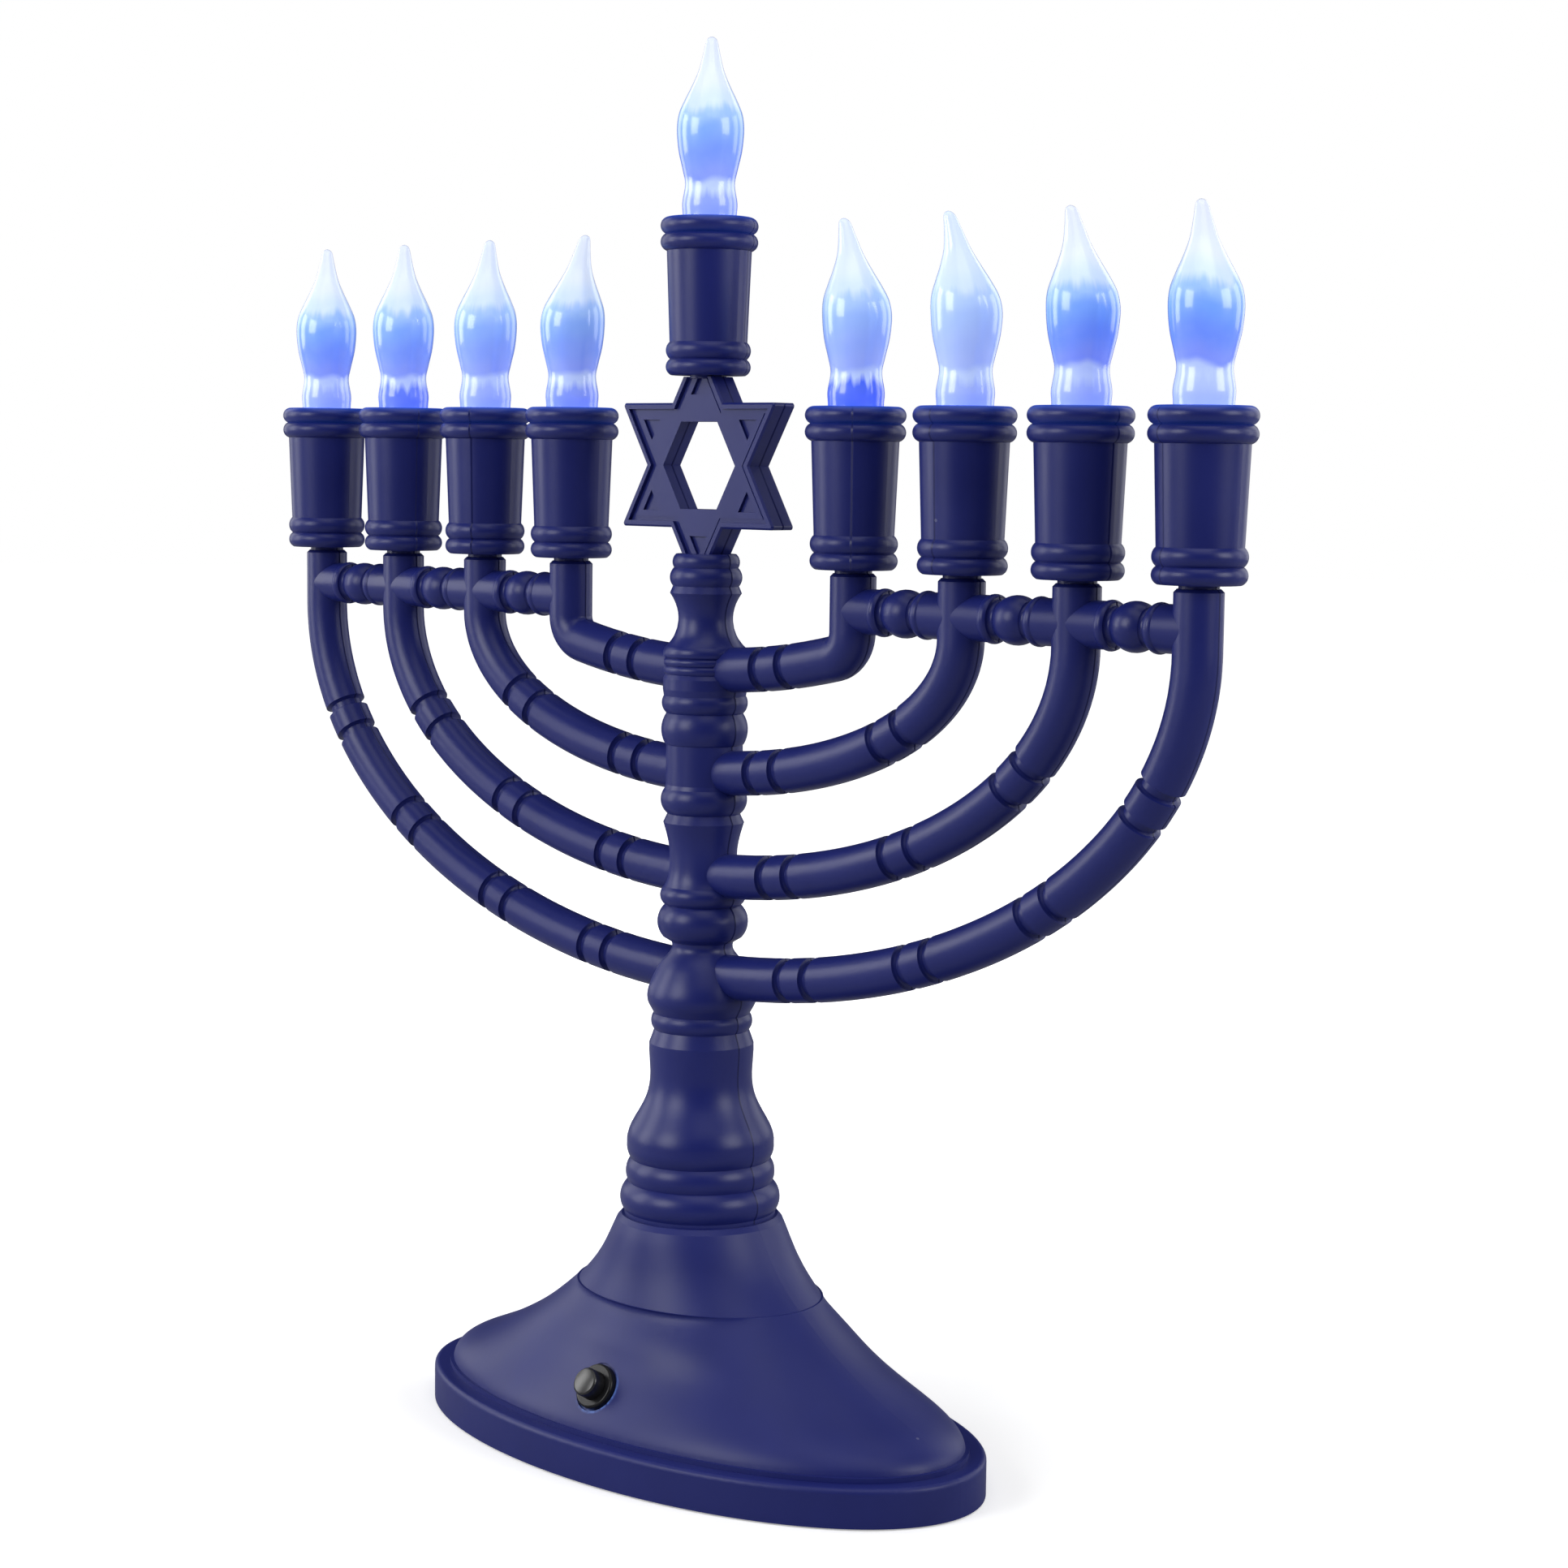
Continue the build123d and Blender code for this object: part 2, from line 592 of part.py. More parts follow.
with BuildPart() as right_arms_front:
    for (half_width, half_drop), angles in zip(ARM_RADII, COLLAR_ANGLES):
        with BuildPart(mode=Mode.PRIVATE) as arm:
            add(arm_rod(half_width, half_drop, ARM_TUBE, ARM_TOP - ARM_BEVEL))
            stub = (half_width, 0, ARM_TOP - ARM_BEVEL)
            add(half_round(stub, (0, 0, 1), ARM_TUBE, ARM_BEVEL, ARM_TUBE - ARM_BEVEL))
            for angle in angles:
                with Locations(*collar_grooves(half_width, half_drop, angle)):
                    add(groove_ring.part, mode=Mode.SUBTRACT)
        add(arm.part)
        add(half_round((half_width, 0, ARM_TOP - 1), (0, 0, 1), SPIGOT_RADIUS, SPIGOT_LENGTH + 1))
    for (inner, _), (outer, _) in zip(ARM_RADII, ARM_RADII[1:]):
        add(link_bar(inner, outer))
    for half_width, half_drop in ARM_RADII:
        add(arm_rod(half_width, half_drop, ARM_BORE, ARM_TOP - 2, whole=True), mode=Mode.SUBTRACT)
        with Locations((half_width, 0, ARM_TOP - 3)):
            Cylinder(SPIGOT_BORE, 20, align=(Align.CENTER, Align.CENTER, Align.MIN), mode=Mode.SUBTRACT)
    add(stem_solid, mode=Mode.SUBTRACT)
write(right_arms_front, "right_arms_front")

with BuildPart() as right_arms_rear:
    mirror(right_arms_front.part, about=Plane.XZ)
write(right_arms_rear, "right_arms_rear")

with BuildPart() as left_arms_front:
    mirror(right_arms_front.part, about=Plane.YZ)
write(left_arms_front, "left_arms_front")

with BuildPart() as left_arms_rear:
    mirror(right_arms_rear.part, about=Plane.YZ)
write(left_arms_rear, "left_arms_rear")


def hexagram(radius):
    """The points of a six-pointed star, its points up and down."""
    corners = []
    for k in range(12):
        reach = radius if k % 2 == 0 else radius / math.sqrt(3)
        angle = math.radians(90 + 30 * k)
        corners.append((reach * math.cos(angle), STAR_Z + reach * math.sin(angle)))
    return corners


def star_front():
    """The star's front half: raised rim, channel, inner panel with small triangles, six-sided hole."""
    channel_floor = STAR_HALF_DEPTH - STAR_CHANNEL_DEPTH
    panel_radius = STAR_RADIUS - 2 * (STAR_RIM + STAR_CHANNEL)
    with BuildPart() as star:
        with BuildSketch(Plane.XZ) as outline:
            Polygon(*hexagram(STAR_RADIUS), align=None)
            fillet(outline.vertices().sort_by_distance((0, STAR_Z))[-6:], STAR_TIP_ROUND)
        extrude(amount=STAR_HALF_DEPTH)
        chamfer(star.faces().sort_by(Axis.Y)[0].edges(), STAR_EDGE)
        with BuildSketch(Plane.XZ.offset(STAR_HALF_DEPTH)):
            Polygon(*hexagram(STAR_RADIUS - 2 * STAR_RIM), align=None)
        extrude(amount=-STAR_CHANNEL_DEPTH, mode=Mode.SUBTRACT)
        with BuildSketch(Plane.XZ.offset(channel_floor)):
            Polygon(*hexagram(panel_radius), align=None)
        extrude(amount=STAR_PANEL_HALF_DEPTH - channel_floor)
        with BuildSketch(Plane.XZ.offset(STAR_PANEL_HALF_DEPTH)):
            for k in range(6):
                angle = math.radians(30 + 60 * k)
                reach = STAR_TRIANGLE_REACH
                with Locations((reach * math.cos(angle), STAR_Z + reach * math.sin(angle))):
                    RegularPolygon(STAR_TRIANGLE, 3, rotation=30 + 60 * k)
        extrude(amount=-STAR_TRIANGLE_DEPTH, mode=Mode.SUBTRACT)
        with BuildSketch(Plane.XZ):
            Polygon(*hexagram(STAR_RADIUS - STAR_HOLLOW), align=None)
        extrude(amount=STAR_HOLLOW_DEPTH, mode=Mode.SUBTRACT)
        with BuildSketch(Plane.XZ):
            with Locations((0, STAR_Z)):
                RegularPolygon(STAR_HOLE_RADIUS + STAR_HOLE_RIM, 6)
        extrude(amount=STAR_PANEL_HALF_DEPTH)
        with BuildSketch(Plane.XZ):
            with Locations((0, STAR_Z)):
                RegularPolygon(STAR_HOLE_RADIUS, 6)
        extrude(amount=10, mode=Mode.SUBTRACT)
        with Locations((0, 0, STAR_TOP)):
            Box(40, 20, 20, align=(Align.CENTER, Align.CENTER, Align.MIN), mode=Mode.SUBTRACT)
        with Locations((0, 0, STEM_TOP - 1.2)):
            Box(40, 20, 20, align=(Align.CENTER, Align.CENTER, Align.MAX), mode=Mode.SUBTRACT)
        add(half_round((0, 0, STAR_TOP - 0.4), (0, 0, 1), SPIGOT_RADIUS, SPIGOT_LENGTH + 0.4))
        with Locations((0, 0, STAR_TOP - 3)):
            Cylinder(LED_WIRE_HOLE, 12, align=(Align.CENTER, Align.CENTER, Align.MIN), mode=Mode.SUBTRACT)
    return star.part


with BuildPart() as stem_front_shell:
    with BuildSketch(Plane.XZ):
        with BuildLine():
            draw_stretches([STEM_BORE_TOP] + STEM_STRETCHES[1:-2] + STEM_BORE)
        make_face()
    revolve(axis=-Axis.Z, revolution_arc=180)
    for _, half_drop in ARM_RADII:
        with Locations(Plane(origin=(0, 0, ARM_CENTRE_Z - half_drop), z_dir=(1, 0, 0))):
            Cylinder(WIRE_HOLE, 40, mode=Mode.SUBTRACT)
    add(star_front())
write(stem_front_shell, "stem_front_shell")

with BuildPart() as stem_rear_shell:
    mirror(stem_front_shell.part, about=Plane.XZ)
write(stem_rear_shell, "stem_rear_shell")

NUT_TOP = 52.2
NUT_HEIGHT = 5.0
NUT_RADIUS = 16.0
NUT_FIT = 0.06

with BuildPart() as stem_nut:
    with BuildSketch(Plane.XY.offset(NUT_TOP - NUT_HEIGHT)):
        RegularPolygon(NUT_RADIUS, 6)
        Circle(TENON_RADIUS + NUT_FIT, mode=Mode.SUBTRACT)
    extrude(amount=NUT_HEIGHT)
write(stem_nut, "stem_nut")

# ---- Candle cups --------------------------------------------------------------------------------

CUP_STRETCHES = [
    [(SPIGOT_RADIUS + 0.1, 0.0), (8.6, 0.0)],
    [(8.6, 0.0), (9.83, 1.85), (8.9, 3.7)],
    [(8.9, 3.7), (9.83, 5.6), (9.0, 7.6)],
    [(9.0, 7.6), (9.8, 28.4)],
    [(9.8, 28.4), (11.25, 30.3), (10.1, 32.3)],
    [(10.1, 32.3), (11.27, 34.3), (9.6, CUP_HEIGHT)],
    [(9.6, CUP_HEIGHT), (CUP_BORE + 0.6, CUP_HEIGHT)],
    [(CUP_BORE + 0.6, CUP_HEIGHT), (CUP_BORE, CUP_HEIGHT - 0.6)],
    [(CUP_BORE, CUP_HEIGHT - 0.6), (CUP_BORE, CUP_FLOOR)],
    [(CUP_BORE, CUP_FLOOR), (SPIGOT_RADIUS + 0.1, CUP_FLOOR)],
    [(SPIGOT_RADIUS + 0.1, CUP_FLOOR), (SPIGOT_RADIUS + 0.1, 0.0)],
]
cup_body = turned(CUP_STRETCHES)

for name, (cup_x, cup_z) in zip(CUP_NAMES, CUP_PLACES):
    with BuildPart() as cup:
        with Locations((cup_x, 0, cup_z)):
            add(cup_body)
    write(cup, name)

# ---- Lights: holders, light-emitting diodes and flame-shaped caps ------------------------------------

HOLDER_TOP = -FLAME_SEAT - 0.4
HOLDER_BOTTOM = CUP_FLOOR - CUP_HEIGHT
LED_RADIUS = 2.45

with BuildPart() as holder_body:
    Cylinder(CUP_BORE - 0.05, HOLDER_TOP - HOLDER_BOTTOM, align=(Align.CENTER, Align.CENTER, Align.MIN))
    Cylinder(1.9, 20, mode=Mode.SUBTRACT)

with BuildPart() as led_holders:
    with Locations(*[(x, 0, z + HOLDER_BOTTOM) for x, z in RIM_PLACES]):
        add(holder_body.part)
write(led_holders, "led_holders")

with BuildPart() as led_body:
    Cylinder(2.9, 1.0, align=(Align.CENTER, Align.CENTER, Align.MIN))
    Cylinder(LED_RADIUS, 6.0, align=(Align.CENTER, Align.CENTER, Align.MIN))
    with Locations((0, 0, 6.0)):
        Sphere(LED_RADIUS)
    with Locations((1.27, 0, 0), (-1.27, 0, 0)):
        Cylinder(0.25, 7.0, align=(Align.CENTER, Align.CENTER, Align.MAX))

with BuildPart() as leds:
    with Locations(*[(x, 0, z + HOLDER_TOP) for x, z in RIM_PLACES]):
        add(led_body.part)
write(leds, "leds")

# flame outline as (height over the cup's rim, radius)
FLAME_SECTIONS = [
    (0.0, 6.2),
    (3.2, 6.35),
    (7.4, 5.72),
    (10.6, 6.3),
    (15.0, 7.3),
    (19.8, 7.72),
    (23.4, 7.3),
    (26.6, 6.0),
    (29.8, 4.45),
    (33.4, 2.95),
    (37.4, 1.95),
    (40.2, 1.35),
    (FLAME_HEIGHT, 0.7),
]
# the hollow inside the flame over its seat, as (radius, height)
FLAME_HOLLOW = [(0, -1), (4.7, -1), (4.7, 8.5), (5.9, 16), (5.5, 22), (0, 30)]
BEND_START = 19.0


def flame_lean(height):
    """How far the flame's middle line has leaned over at a height."""
    share = max(0.0, height - BEND_START) / (FLAME_HEIGHT - BEND_START)
    return FLAME_BEND * share**1.5


with BuildPart() as flame_body:
    for height, radius in FLAME_SECTIONS:
        with BuildSketch(Plane.XY.offset(height)):
            with Locations((flame_lean(height), 0)):
                Circle(radius)
    loft()
    Cylinder(FLAME_BASE_RADIUS, FLAME_SEAT, align=(Align.CENTER, Align.CENTER, Align.MAX))
    Cylinder(4.7, FLAME_SEAT + 6, align=(Align.CENTER, Align.CENTER, Align.MAX), mode=Mode.SUBTRACT)
    with BuildSketch(Plane.XZ):
        Polygon(*FLAME_HOLLOW, align=None)
    revolve(axis=Axis.Z, mode=Mode.SUBTRACT)

for name, (flame_x, flame_z), turn in zip(CUP_NAMES, RIM_PLACES, FLAME_TURNS):
    with BuildPart() as flame:
        with Locations(Pos(flame_x, 0, flame_z) * Rot(0, 0, turn)):
            add(flame_body.part)
    write(flame, name.replace("cup", "flame"))

# ---- Wires inside the arms and stem ----------------------------------------------------------------

WIRE_RADIUS = 0.9
WIRE_TRUNK = 2.6
WIRE_TAIL = 4.0

with BuildPart() as wire_harness:
    for half_width, half_drop in ARM_RADII:
        add(arm_rod(half_width, half_drop, WIRE_RADIUS, ARM_TOP + WIRE_TAIL, whole=True))
    mirror(about=Plane.YZ)
    for _, half_drop in ARM_RADII:
        with Locations(Plane(origin=(0, 0, ARM_CENTRE_Z - half_drop), z_dir=(1, 0, 0))):
            Cylinder(WIRE_RADIUS, 2 * ARM_REACH + 0.6)
    with Locations((0, 0, 50)):
        Cylinder(WIRE_TRUNK, 152, align=(Align.CENTER, Align.CENTER, Align.MIN))
write(wire_harness, "wire_harness")

# ---- Push button ------------------------------------------------------------------------------------

BEZEL_SEAT = -0.5
BEZEL_HEIGHT = 1.7
BEZEL_FACE = BEZEL_SEAT + BEZEL_HEIGHT
BARREL_END = -9.0
CAP_HOLE = BUTTON_CAP + 0.06
CAP_BOTTOM = -2.4
SPRING_FLOOR = -7.6
NUT_CORNER = 5.7
CAP_CROWN = 0.55


def button_disc(start, end, radius):
    """A round length along the button's axis, between two heights over the dome."""
    with BuildPart() as disc:
        with BuildSketch(BUTTON_PLANE.offset(start)):
            Circle(radius)
        extrude(amount=end - start)
    return disc.part


with BuildPart() as button_body:
    add(button_disc(BEZEL_SEAT, BEZEL_FACE, BUTTON_BEZEL))
    fillet(button_body.edges().sort_by(BUTTON_AXIS)[-1], 0.6)
    add(button_disc(BARREL_END, BEZEL_SEAT, BUTTON_BARREL))
    add(button_disc(SPRING_FLOOR, BEZEL_FACE + 1, CAP_HOLE), mode=Mode.SUBTRACT)
write(button_body, "button_body")

with BuildPart() as button_cap:
    add(button_disc(CAP_BOTTOM, BEZEL_FACE + BUTTON_PROUD, BUTTON_CAP))
    fillet(button_cap.edges().sort_by(BUTTON_AXIS)[-1], CAP_CROWN)
write(button_cap, "button_cap")

SPRING_TOP = CAP_BOTTOM - 0.1

with BuildPart() as button_spring:
    with Locations(BUTTON_PLANE.offset(SPRING_FLOOR)):
        add(coil_spring(2.2, SPRING_TOP - SPRING_FLOOR, 5, 0.25))
write(button_spring, "button_spring")

with BuildPart() as button_nut:
    with BuildSketch(BUTTON_PLANE.offset(-5.2)):
        RegularPolygon(NUT_CORNER, 6)
        Circle(BUTTON_BARREL + 0.05, mode=Mode.SUBTRACT)
    extrude(amount=2.0)
write(button_nut, "button_nut")

with BuildPart() as button_terminals:
    with Locations(BUTTON_PLANE.offset(BARREL_END - 3.0)):
        with Locations((1.8, 0), (-1.8, 0)):
            Box(0.4, 1.6, 3.0, align=(Align.CENTER, Align.CENTER, Align.MIN))
write(button_terminals, "button_terminals")

print(len(written), "pieces written")
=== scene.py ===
import math

import bmesh
import bpy
from mathutils import Matrix, Vector


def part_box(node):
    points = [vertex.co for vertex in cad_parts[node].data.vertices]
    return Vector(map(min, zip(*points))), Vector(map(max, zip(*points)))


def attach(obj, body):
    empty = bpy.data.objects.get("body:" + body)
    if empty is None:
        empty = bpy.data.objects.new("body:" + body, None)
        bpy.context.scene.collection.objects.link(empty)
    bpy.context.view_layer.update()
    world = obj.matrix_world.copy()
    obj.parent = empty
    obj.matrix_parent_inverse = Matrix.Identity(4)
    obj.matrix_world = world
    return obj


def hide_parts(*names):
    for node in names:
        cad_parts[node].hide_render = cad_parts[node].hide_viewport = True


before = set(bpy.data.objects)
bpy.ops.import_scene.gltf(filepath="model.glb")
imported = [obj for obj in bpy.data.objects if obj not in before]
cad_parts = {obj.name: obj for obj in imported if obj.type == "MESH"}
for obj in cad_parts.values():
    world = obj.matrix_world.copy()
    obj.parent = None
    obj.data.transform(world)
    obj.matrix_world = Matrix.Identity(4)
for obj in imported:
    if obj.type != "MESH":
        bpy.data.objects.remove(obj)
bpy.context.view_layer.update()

MM = 0.001

# ---- Where the candles stand, from the frame --------------------------------------------------

CUPS = ["cup_" + str(n) for n in range(1, 9)] + ["cup_shamash"]
LAMPS = [name.replace("cup", "flame") for name in CUPS]


def middle(node):
    """The middle of a CAD node's box."""
    low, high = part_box(node)
    return (Vector(low) + Vector(high)) / 2


CUP_AXIS = {name: middle(name).x for name in CUPS}
CUP_RIM = {name: Vector(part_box(name)[1]).z for name in CUPS}

# ---- Shader groups ------------------------------------------------------------------------------


def shader_group(name, inputs, outputs):
    """An empty shader node group with its sockets, and its two end nodes."""
    group = bpy.data.node_groups.new(name, "ShaderNodeTree")
    for label, kind, value in inputs:
        socket = group.interface.new_socket(name=label, in_out="INPUT", socket_type=kind)
        if value is not None:
            socket.default_value = value
    for label, kind in outputs:
        group.interface.new_socket(name=label, in_out="OUTPUT", socket_type=kind)
    return group, group.nodes.new("NodeGroupInput"), group.nodes.new("NodeGroupOutput")


def math_node(tree, operation, *values, clamp=False):
    """A maths node fed by sockets or numbers; returns its result."""
    node = tree.nodes.new("ShaderNodeMath")
    node.operation = operation
    node.use_clamp = clamp
    for socket, value in zip(node.inputs, values):
        if isinstance(value, bpy.types.NodeSocket):
            tree.links.new(value, socket)
        else:
            socket.default_value = value
    return node.outputs[0]


def ramp(tree, value, stops, smooth=True):
    """A colour ramp over (position, colour) stops; returns its colour."""
    node = tree.nodes.new("ShaderNodeValToRGB")
    node.color_ramp.interpolation = "EASE" if smooth else "LINEAR"
    elements = node.color_ramp.elements
    while len(elements) < len(stops):
        elements.new(0.5)
    for element, (position, colour) in zip(elements, stops):
        element.position = position
        element.color = (*colour, 1.0) if len(colour) == 3 else colour
    tree.links.new(value, node.inputs[0])
    return node.outputs[0]


def noise(tree, vector, scale, detail=2.0, roughness=0.5):
    """Noise over a vector; returns its value."""
    node = tree.nodes.new("ShaderNodeTexNoise")
    node.inputs["Scale"].default_value = scale
    node.inputs["Detail"].default_value = detail
    node.inputs["Roughness"].default_value = roughness
    tree.links.new(vector, node.inputs["Vector"])
    return node.outputs[0]


def make_skin_group():
    """Moulded plastic: a slow clouding of colour, an uneven gloss and a fine eggshell relief."""
    group, start, end = shader_group(
        "moulded_skin",
        [
            ("Vector", "NodeSocketVector", None),
            ("Cloud Size", "NodeSocketFloat", 60.0),
            ("Grain Size", "NodeSocketFloat", 2600.0),
            ("Gloss Low", "NodeSocketFloat", 0.30),
            ("Gloss High", "NodeSocketFloat", 0.42),
        ],
        [("Cloud", "NodeSocketFloat"), ("Roughness", "NodeSocketFloat"), ("Relief", "NodeSocketFloat")],
    )
    clouds = group.nodes.new("ShaderNodeTexNoise")
    clouds.inputs["Detail"].default_value = 3.0
    grain = group.nodes.new("ShaderNodeTexNoise")
    grain.inputs["Detail"].default_value = 2.0
    orange_peel = group.nodes.new("ShaderNodeTexNoise")
    orange_peel.inputs["Scale"].default_value = 420.0
    orange_peel.inputs["Detail"].default_value = 1.0
    for node in (clouds, grain, orange_peel):
        group.links.new(start.outputs["Vector"], node.inputs["Vector"])
    group.links.new(start.outputs["Cloud Size"], clouds.inputs["Scale"])
    group.links.new(start.outputs["Grain Size"], grain.inputs["Scale"])
    span = math_node(group, "SUBTRACT", start.outputs["Gloss High"], start.outputs["Gloss Low"])
    uneven = math_node(group, "MULTIPLY_ADD", clouds.outputs[0], span, start.outputs["Gloss Low"])
    relief = math_node(group, "MULTIPLY_ADD", grain.outputs[0], 0.35, orange_peel.outputs[0])
    group.links.new(clouds.outputs[0], end.inputs["Cloud"])
    group.links.new(uneven, end.inputs["Roughness"])
    group.links.new(relief, end.inputs["Relief"])
    return group


def make_parting_group():
    """The line where two mould halves met: a mask for painted shade and a small step over the plane of
    local Y = 0.
    """
    group, start, end = shader_group(
        "parting_line",
        [("Vector", "NodeSocketVector", None), ("Half Width", "NodeSocketFloat", 0.00026)],
        [("Mask", "NodeSocketFloat"), ("Step", "NodeSocketFloat")],
    )
    split = group.nodes.new("ShaderNodeSeparateXYZ")
    group.links.new(start.outputs["Vector"], split.inputs[0])
    waver = noise(group, start.outputs["Vector"], 160.0, 2.0)
    offset = math_node(group, "MULTIPLY_ADD", waver, 0.00012, -0.00006)
    across = math_node(group, "ADD", split.outputs["Y"], offset)
    away = math_node(group, "ABSOLUTE", across)
    share = math_node(group, "DIVIDE", away, start.outputs["Half Width"])
    mask = math_node(group, "SUBTRACT", 1.0, share, clamp=True)
    side = math_node(group, "DIVIDE", across, start.outputs["Half Width"])
    step = math_node(group, "MULTIPLY_ADD", side, 0.5, 0.5, clamp=True)
    group.links.new(mask, end.inputs["Mask"])
    group.links.new(step, end.inputs["Step"])
    return group


def make_speck_group():
    """Sparse pale specks and rub marks left by handling."""
    group, start, end = shader_group(
        "handling_specks",
        [("Vector", "NodeSocketVector", None), ("Amount", "NodeSocketFloat", 0.5)],
        [("Mask", "NodeSocketFloat")],
    )
    cells = group.nodes.new("ShaderNodeTexVoronoi")
    cells.inputs["Scale"].default_value = 90.0
    group.links.new(start.outputs["Vector"], cells.inputs["Vector"])
    dots = math_node(group, "LESS_THAN", cells.outputs["Distance"], 0.035)
    patches = noise(group, start.outputs["Vector"], 25.0, 2.0)
    chosen = math_node(group, "GREATER_THAN", patches, 0.6)
    both = math_node(group, "MULTIPLY", dots, chosen)
    group.links.new(math_node(group, "MULTIPLY", both, start.outputs["Amount"]), end.inputs["Mask"])
    return group


GLINT_REACH = 0.004  # how far from the edge's plane the painted highlight can show


def make_edge_glint_group():
    """A painted highlight: plastic made pale along a round edge, more on one side; the vector is the
    edge's own frame.
    """
    group, start, end = shader_group(
        "painted_edge_glint",
        [
            ("Vector", "NodeSocketVector", None),
            ("Radius", "NodeSocketFloat", 0.00585),
            ("Half Width", "NodeSocketFloat", 0.0007),
        ],
        [("Mask", "NodeSocketFloat")],
    )
    split = group.nodes.new("ShaderNodeSeparateXYZ")
    group.links.new(start.outputs["Vector"], split.inputs[0])
    square_x = math_node(group, "MULTIPLY", split.outputs["X"], split.outputs["X"])
    square_y = math_node(group, "MULTIPLY", split.outputs["Y"], split.outputs["Y"])
    radial = math_node(group, "SQRT", math_node(group, "ADD", square_x, square_y))
    away = math_node(group, "ABSOLUTE", math_node(group, "SUBTRACT", radial, start.outputs["Radius"]))
    share = math_node(group, "DIVIDE", away, start.outputs["Half Width"])
    ring = math_node(group, "SUBTRACT", 1.0, share, clamp=True)
    depth = math_node(group, "ABSOLUTE", split.outputs["Z"])
    near = math_node(group, "LESS_THAN", depth, GLINT_REACH)
    # painted highlight: the pale line is kept to the lower right side
    lower_right = math_node(group, "SUBTRACT", split.outputs["X"], split.outputs["Y"])
    one_side = math_node(group, "MULTIPLY_ADD", lower_right, 110.0, 0.25, clamp=True)
    patches = noise(group, start.outputs["Vector"], 900.0, 2.0)
    broken = math_node(group, "MULTIPLY_ADD", patches, 3.0, -0.9, clamp=True)
    mask = math_node(group, "MULTIPLY", math_node(group, "MULTIPLY", ring, near), one_side)
    group.links.new(math_node(group, "MULTIPLY", mask, broken), end.inputs["Mask"])
    return group


SKIN = make_skin_group()
EDGE_GLINT = make_edge_glint_group()
PARTING = make_parting_group()
SPECKS = make_speck_group()

# ---- Materials ------------------------------------------------------------------------------------


def new_material(name):
    """A node material with its shader; returns the material, its tree and the shader."""
    material = bpy.data.materials.new(name)
    material.use_nodes = True
    tree = material.node_tree
    tree.nodes.clear()
    out = tree.nodes.new("ShaderNodeOutputMaterial")
    shader = tree.nodes.new("ShaderNodeBsdfPrincipled")
    tree.links.new(shader.outputs[0], out.inputs["Surface"])
    return material, tree, shader


def add_group(tree, group, vector, **values):
    """Places a shader group fed by a vector, with its own values."""
    node = tree.nodes.new("ShaderNodeGroup")
    node.node_tree = group
    tree.links.new(vector, node.inputs["Vector"])
    for label, value in values.items():
        node.inputs[label.replace("_", " ")].default_value = value
    return node


def mix_colour(tree, factor, first, second, blend="MIX"):
    """Mixes two colours, each a socket or a colour; returns the result."""
    node = tree.nodes.new("ShaderNodeMix")
    node.data_type = "RGBA"
    node.blend_type = blend
    for socket, value in ((node.inputs[0], factor), (node.inputs[6], first), (node.inputs[7], second)):
        if isinstance(value, bpy.types.NodeSocket):
            tree.links.new(value, socket)
        elif isinstance(value, (int, float)):
            socket.default_value = value
        else:
            socket.default_value = (*value, 1.0)
    return node.outputs[2]


def bump(tree, shader, height, strength, distance, previous=None):
    """A bump node on the shader's normal, after another one if given."""
    node = tree.nodes.new("ShaderNodeBump")
    node.inputs["Strength"].default_value = strength
    node.inputs["Distance"].default_value = distance
    tree.links.new(height, node.inputs["Height"])
    if previous is not None:
        tree.links.new(previous, node.inputs["Normal"])
    tree.links.new(node.outputs[0], shader.inputs["Normal"])
    return node.outputs[0]


BUTTON_CENTRE = (0.0, -0.03345, 0.0197)
BUTTON_TILT = math.radians(60)
CAP_RADIUS = 0.00335


def object_vector(tree, centre=(0, 0, 0), turn=0.0, tilt=0.0):
    """Object coordinates, moved to a centre, turned about Z and tilted about X."""
    coordinates = tree.nodes.new("ShaderNodeTexCoord")
    if centre == (0, 0, 0) and turn == 0.0 and tilt == 0.0:
        return coordinates.outputs["Object"]
    mapping = tree.nodes.new("ShaderNodeMapping")
    mapping.vector_type = "TEXTURE"
    mapping.inputs["Location"].default_value = centre
    mapping.inputs["Rotation"].default_value = (tilt, 0, turn)
    tree.links.new(coordinates.outputs["Object"], mapping.inputs["Vector"])
    return mapping.outputs[0]


NAVY = (0.0145, 0.022, 0.180)
NAVY_DEEP = (0.010, 0.0155, 0.135)
# painted shade: the dark colour laid along each parting line
NAVY_PAINTED_SEAM_SHADE = (0.004, 0.005, 0.03)
NAVY_SPECK = (0.16, 0.17, 0.3)
# painted highlight colour for the edge of the button's seat
NAVY_PAINTED_GLINT = (0.12, 0.25, 0.75)
# painted lamp light: the blue glow given to a cup's own plastic round its mouth
PAINTED_RIM_GLOW = (0.02, 0.14, 1.0)
RIM_GLOW_REACH = 0.0045  # how far the glow fades down and outwards from the cup's mouth
RIM_GLOW_RADIUS = 0.0113
RIM_GLOW_STRENGTH = 1.3
SEAM_PAINTED_SHADE = 0.75
GLOSS_SPREAD = 0.12


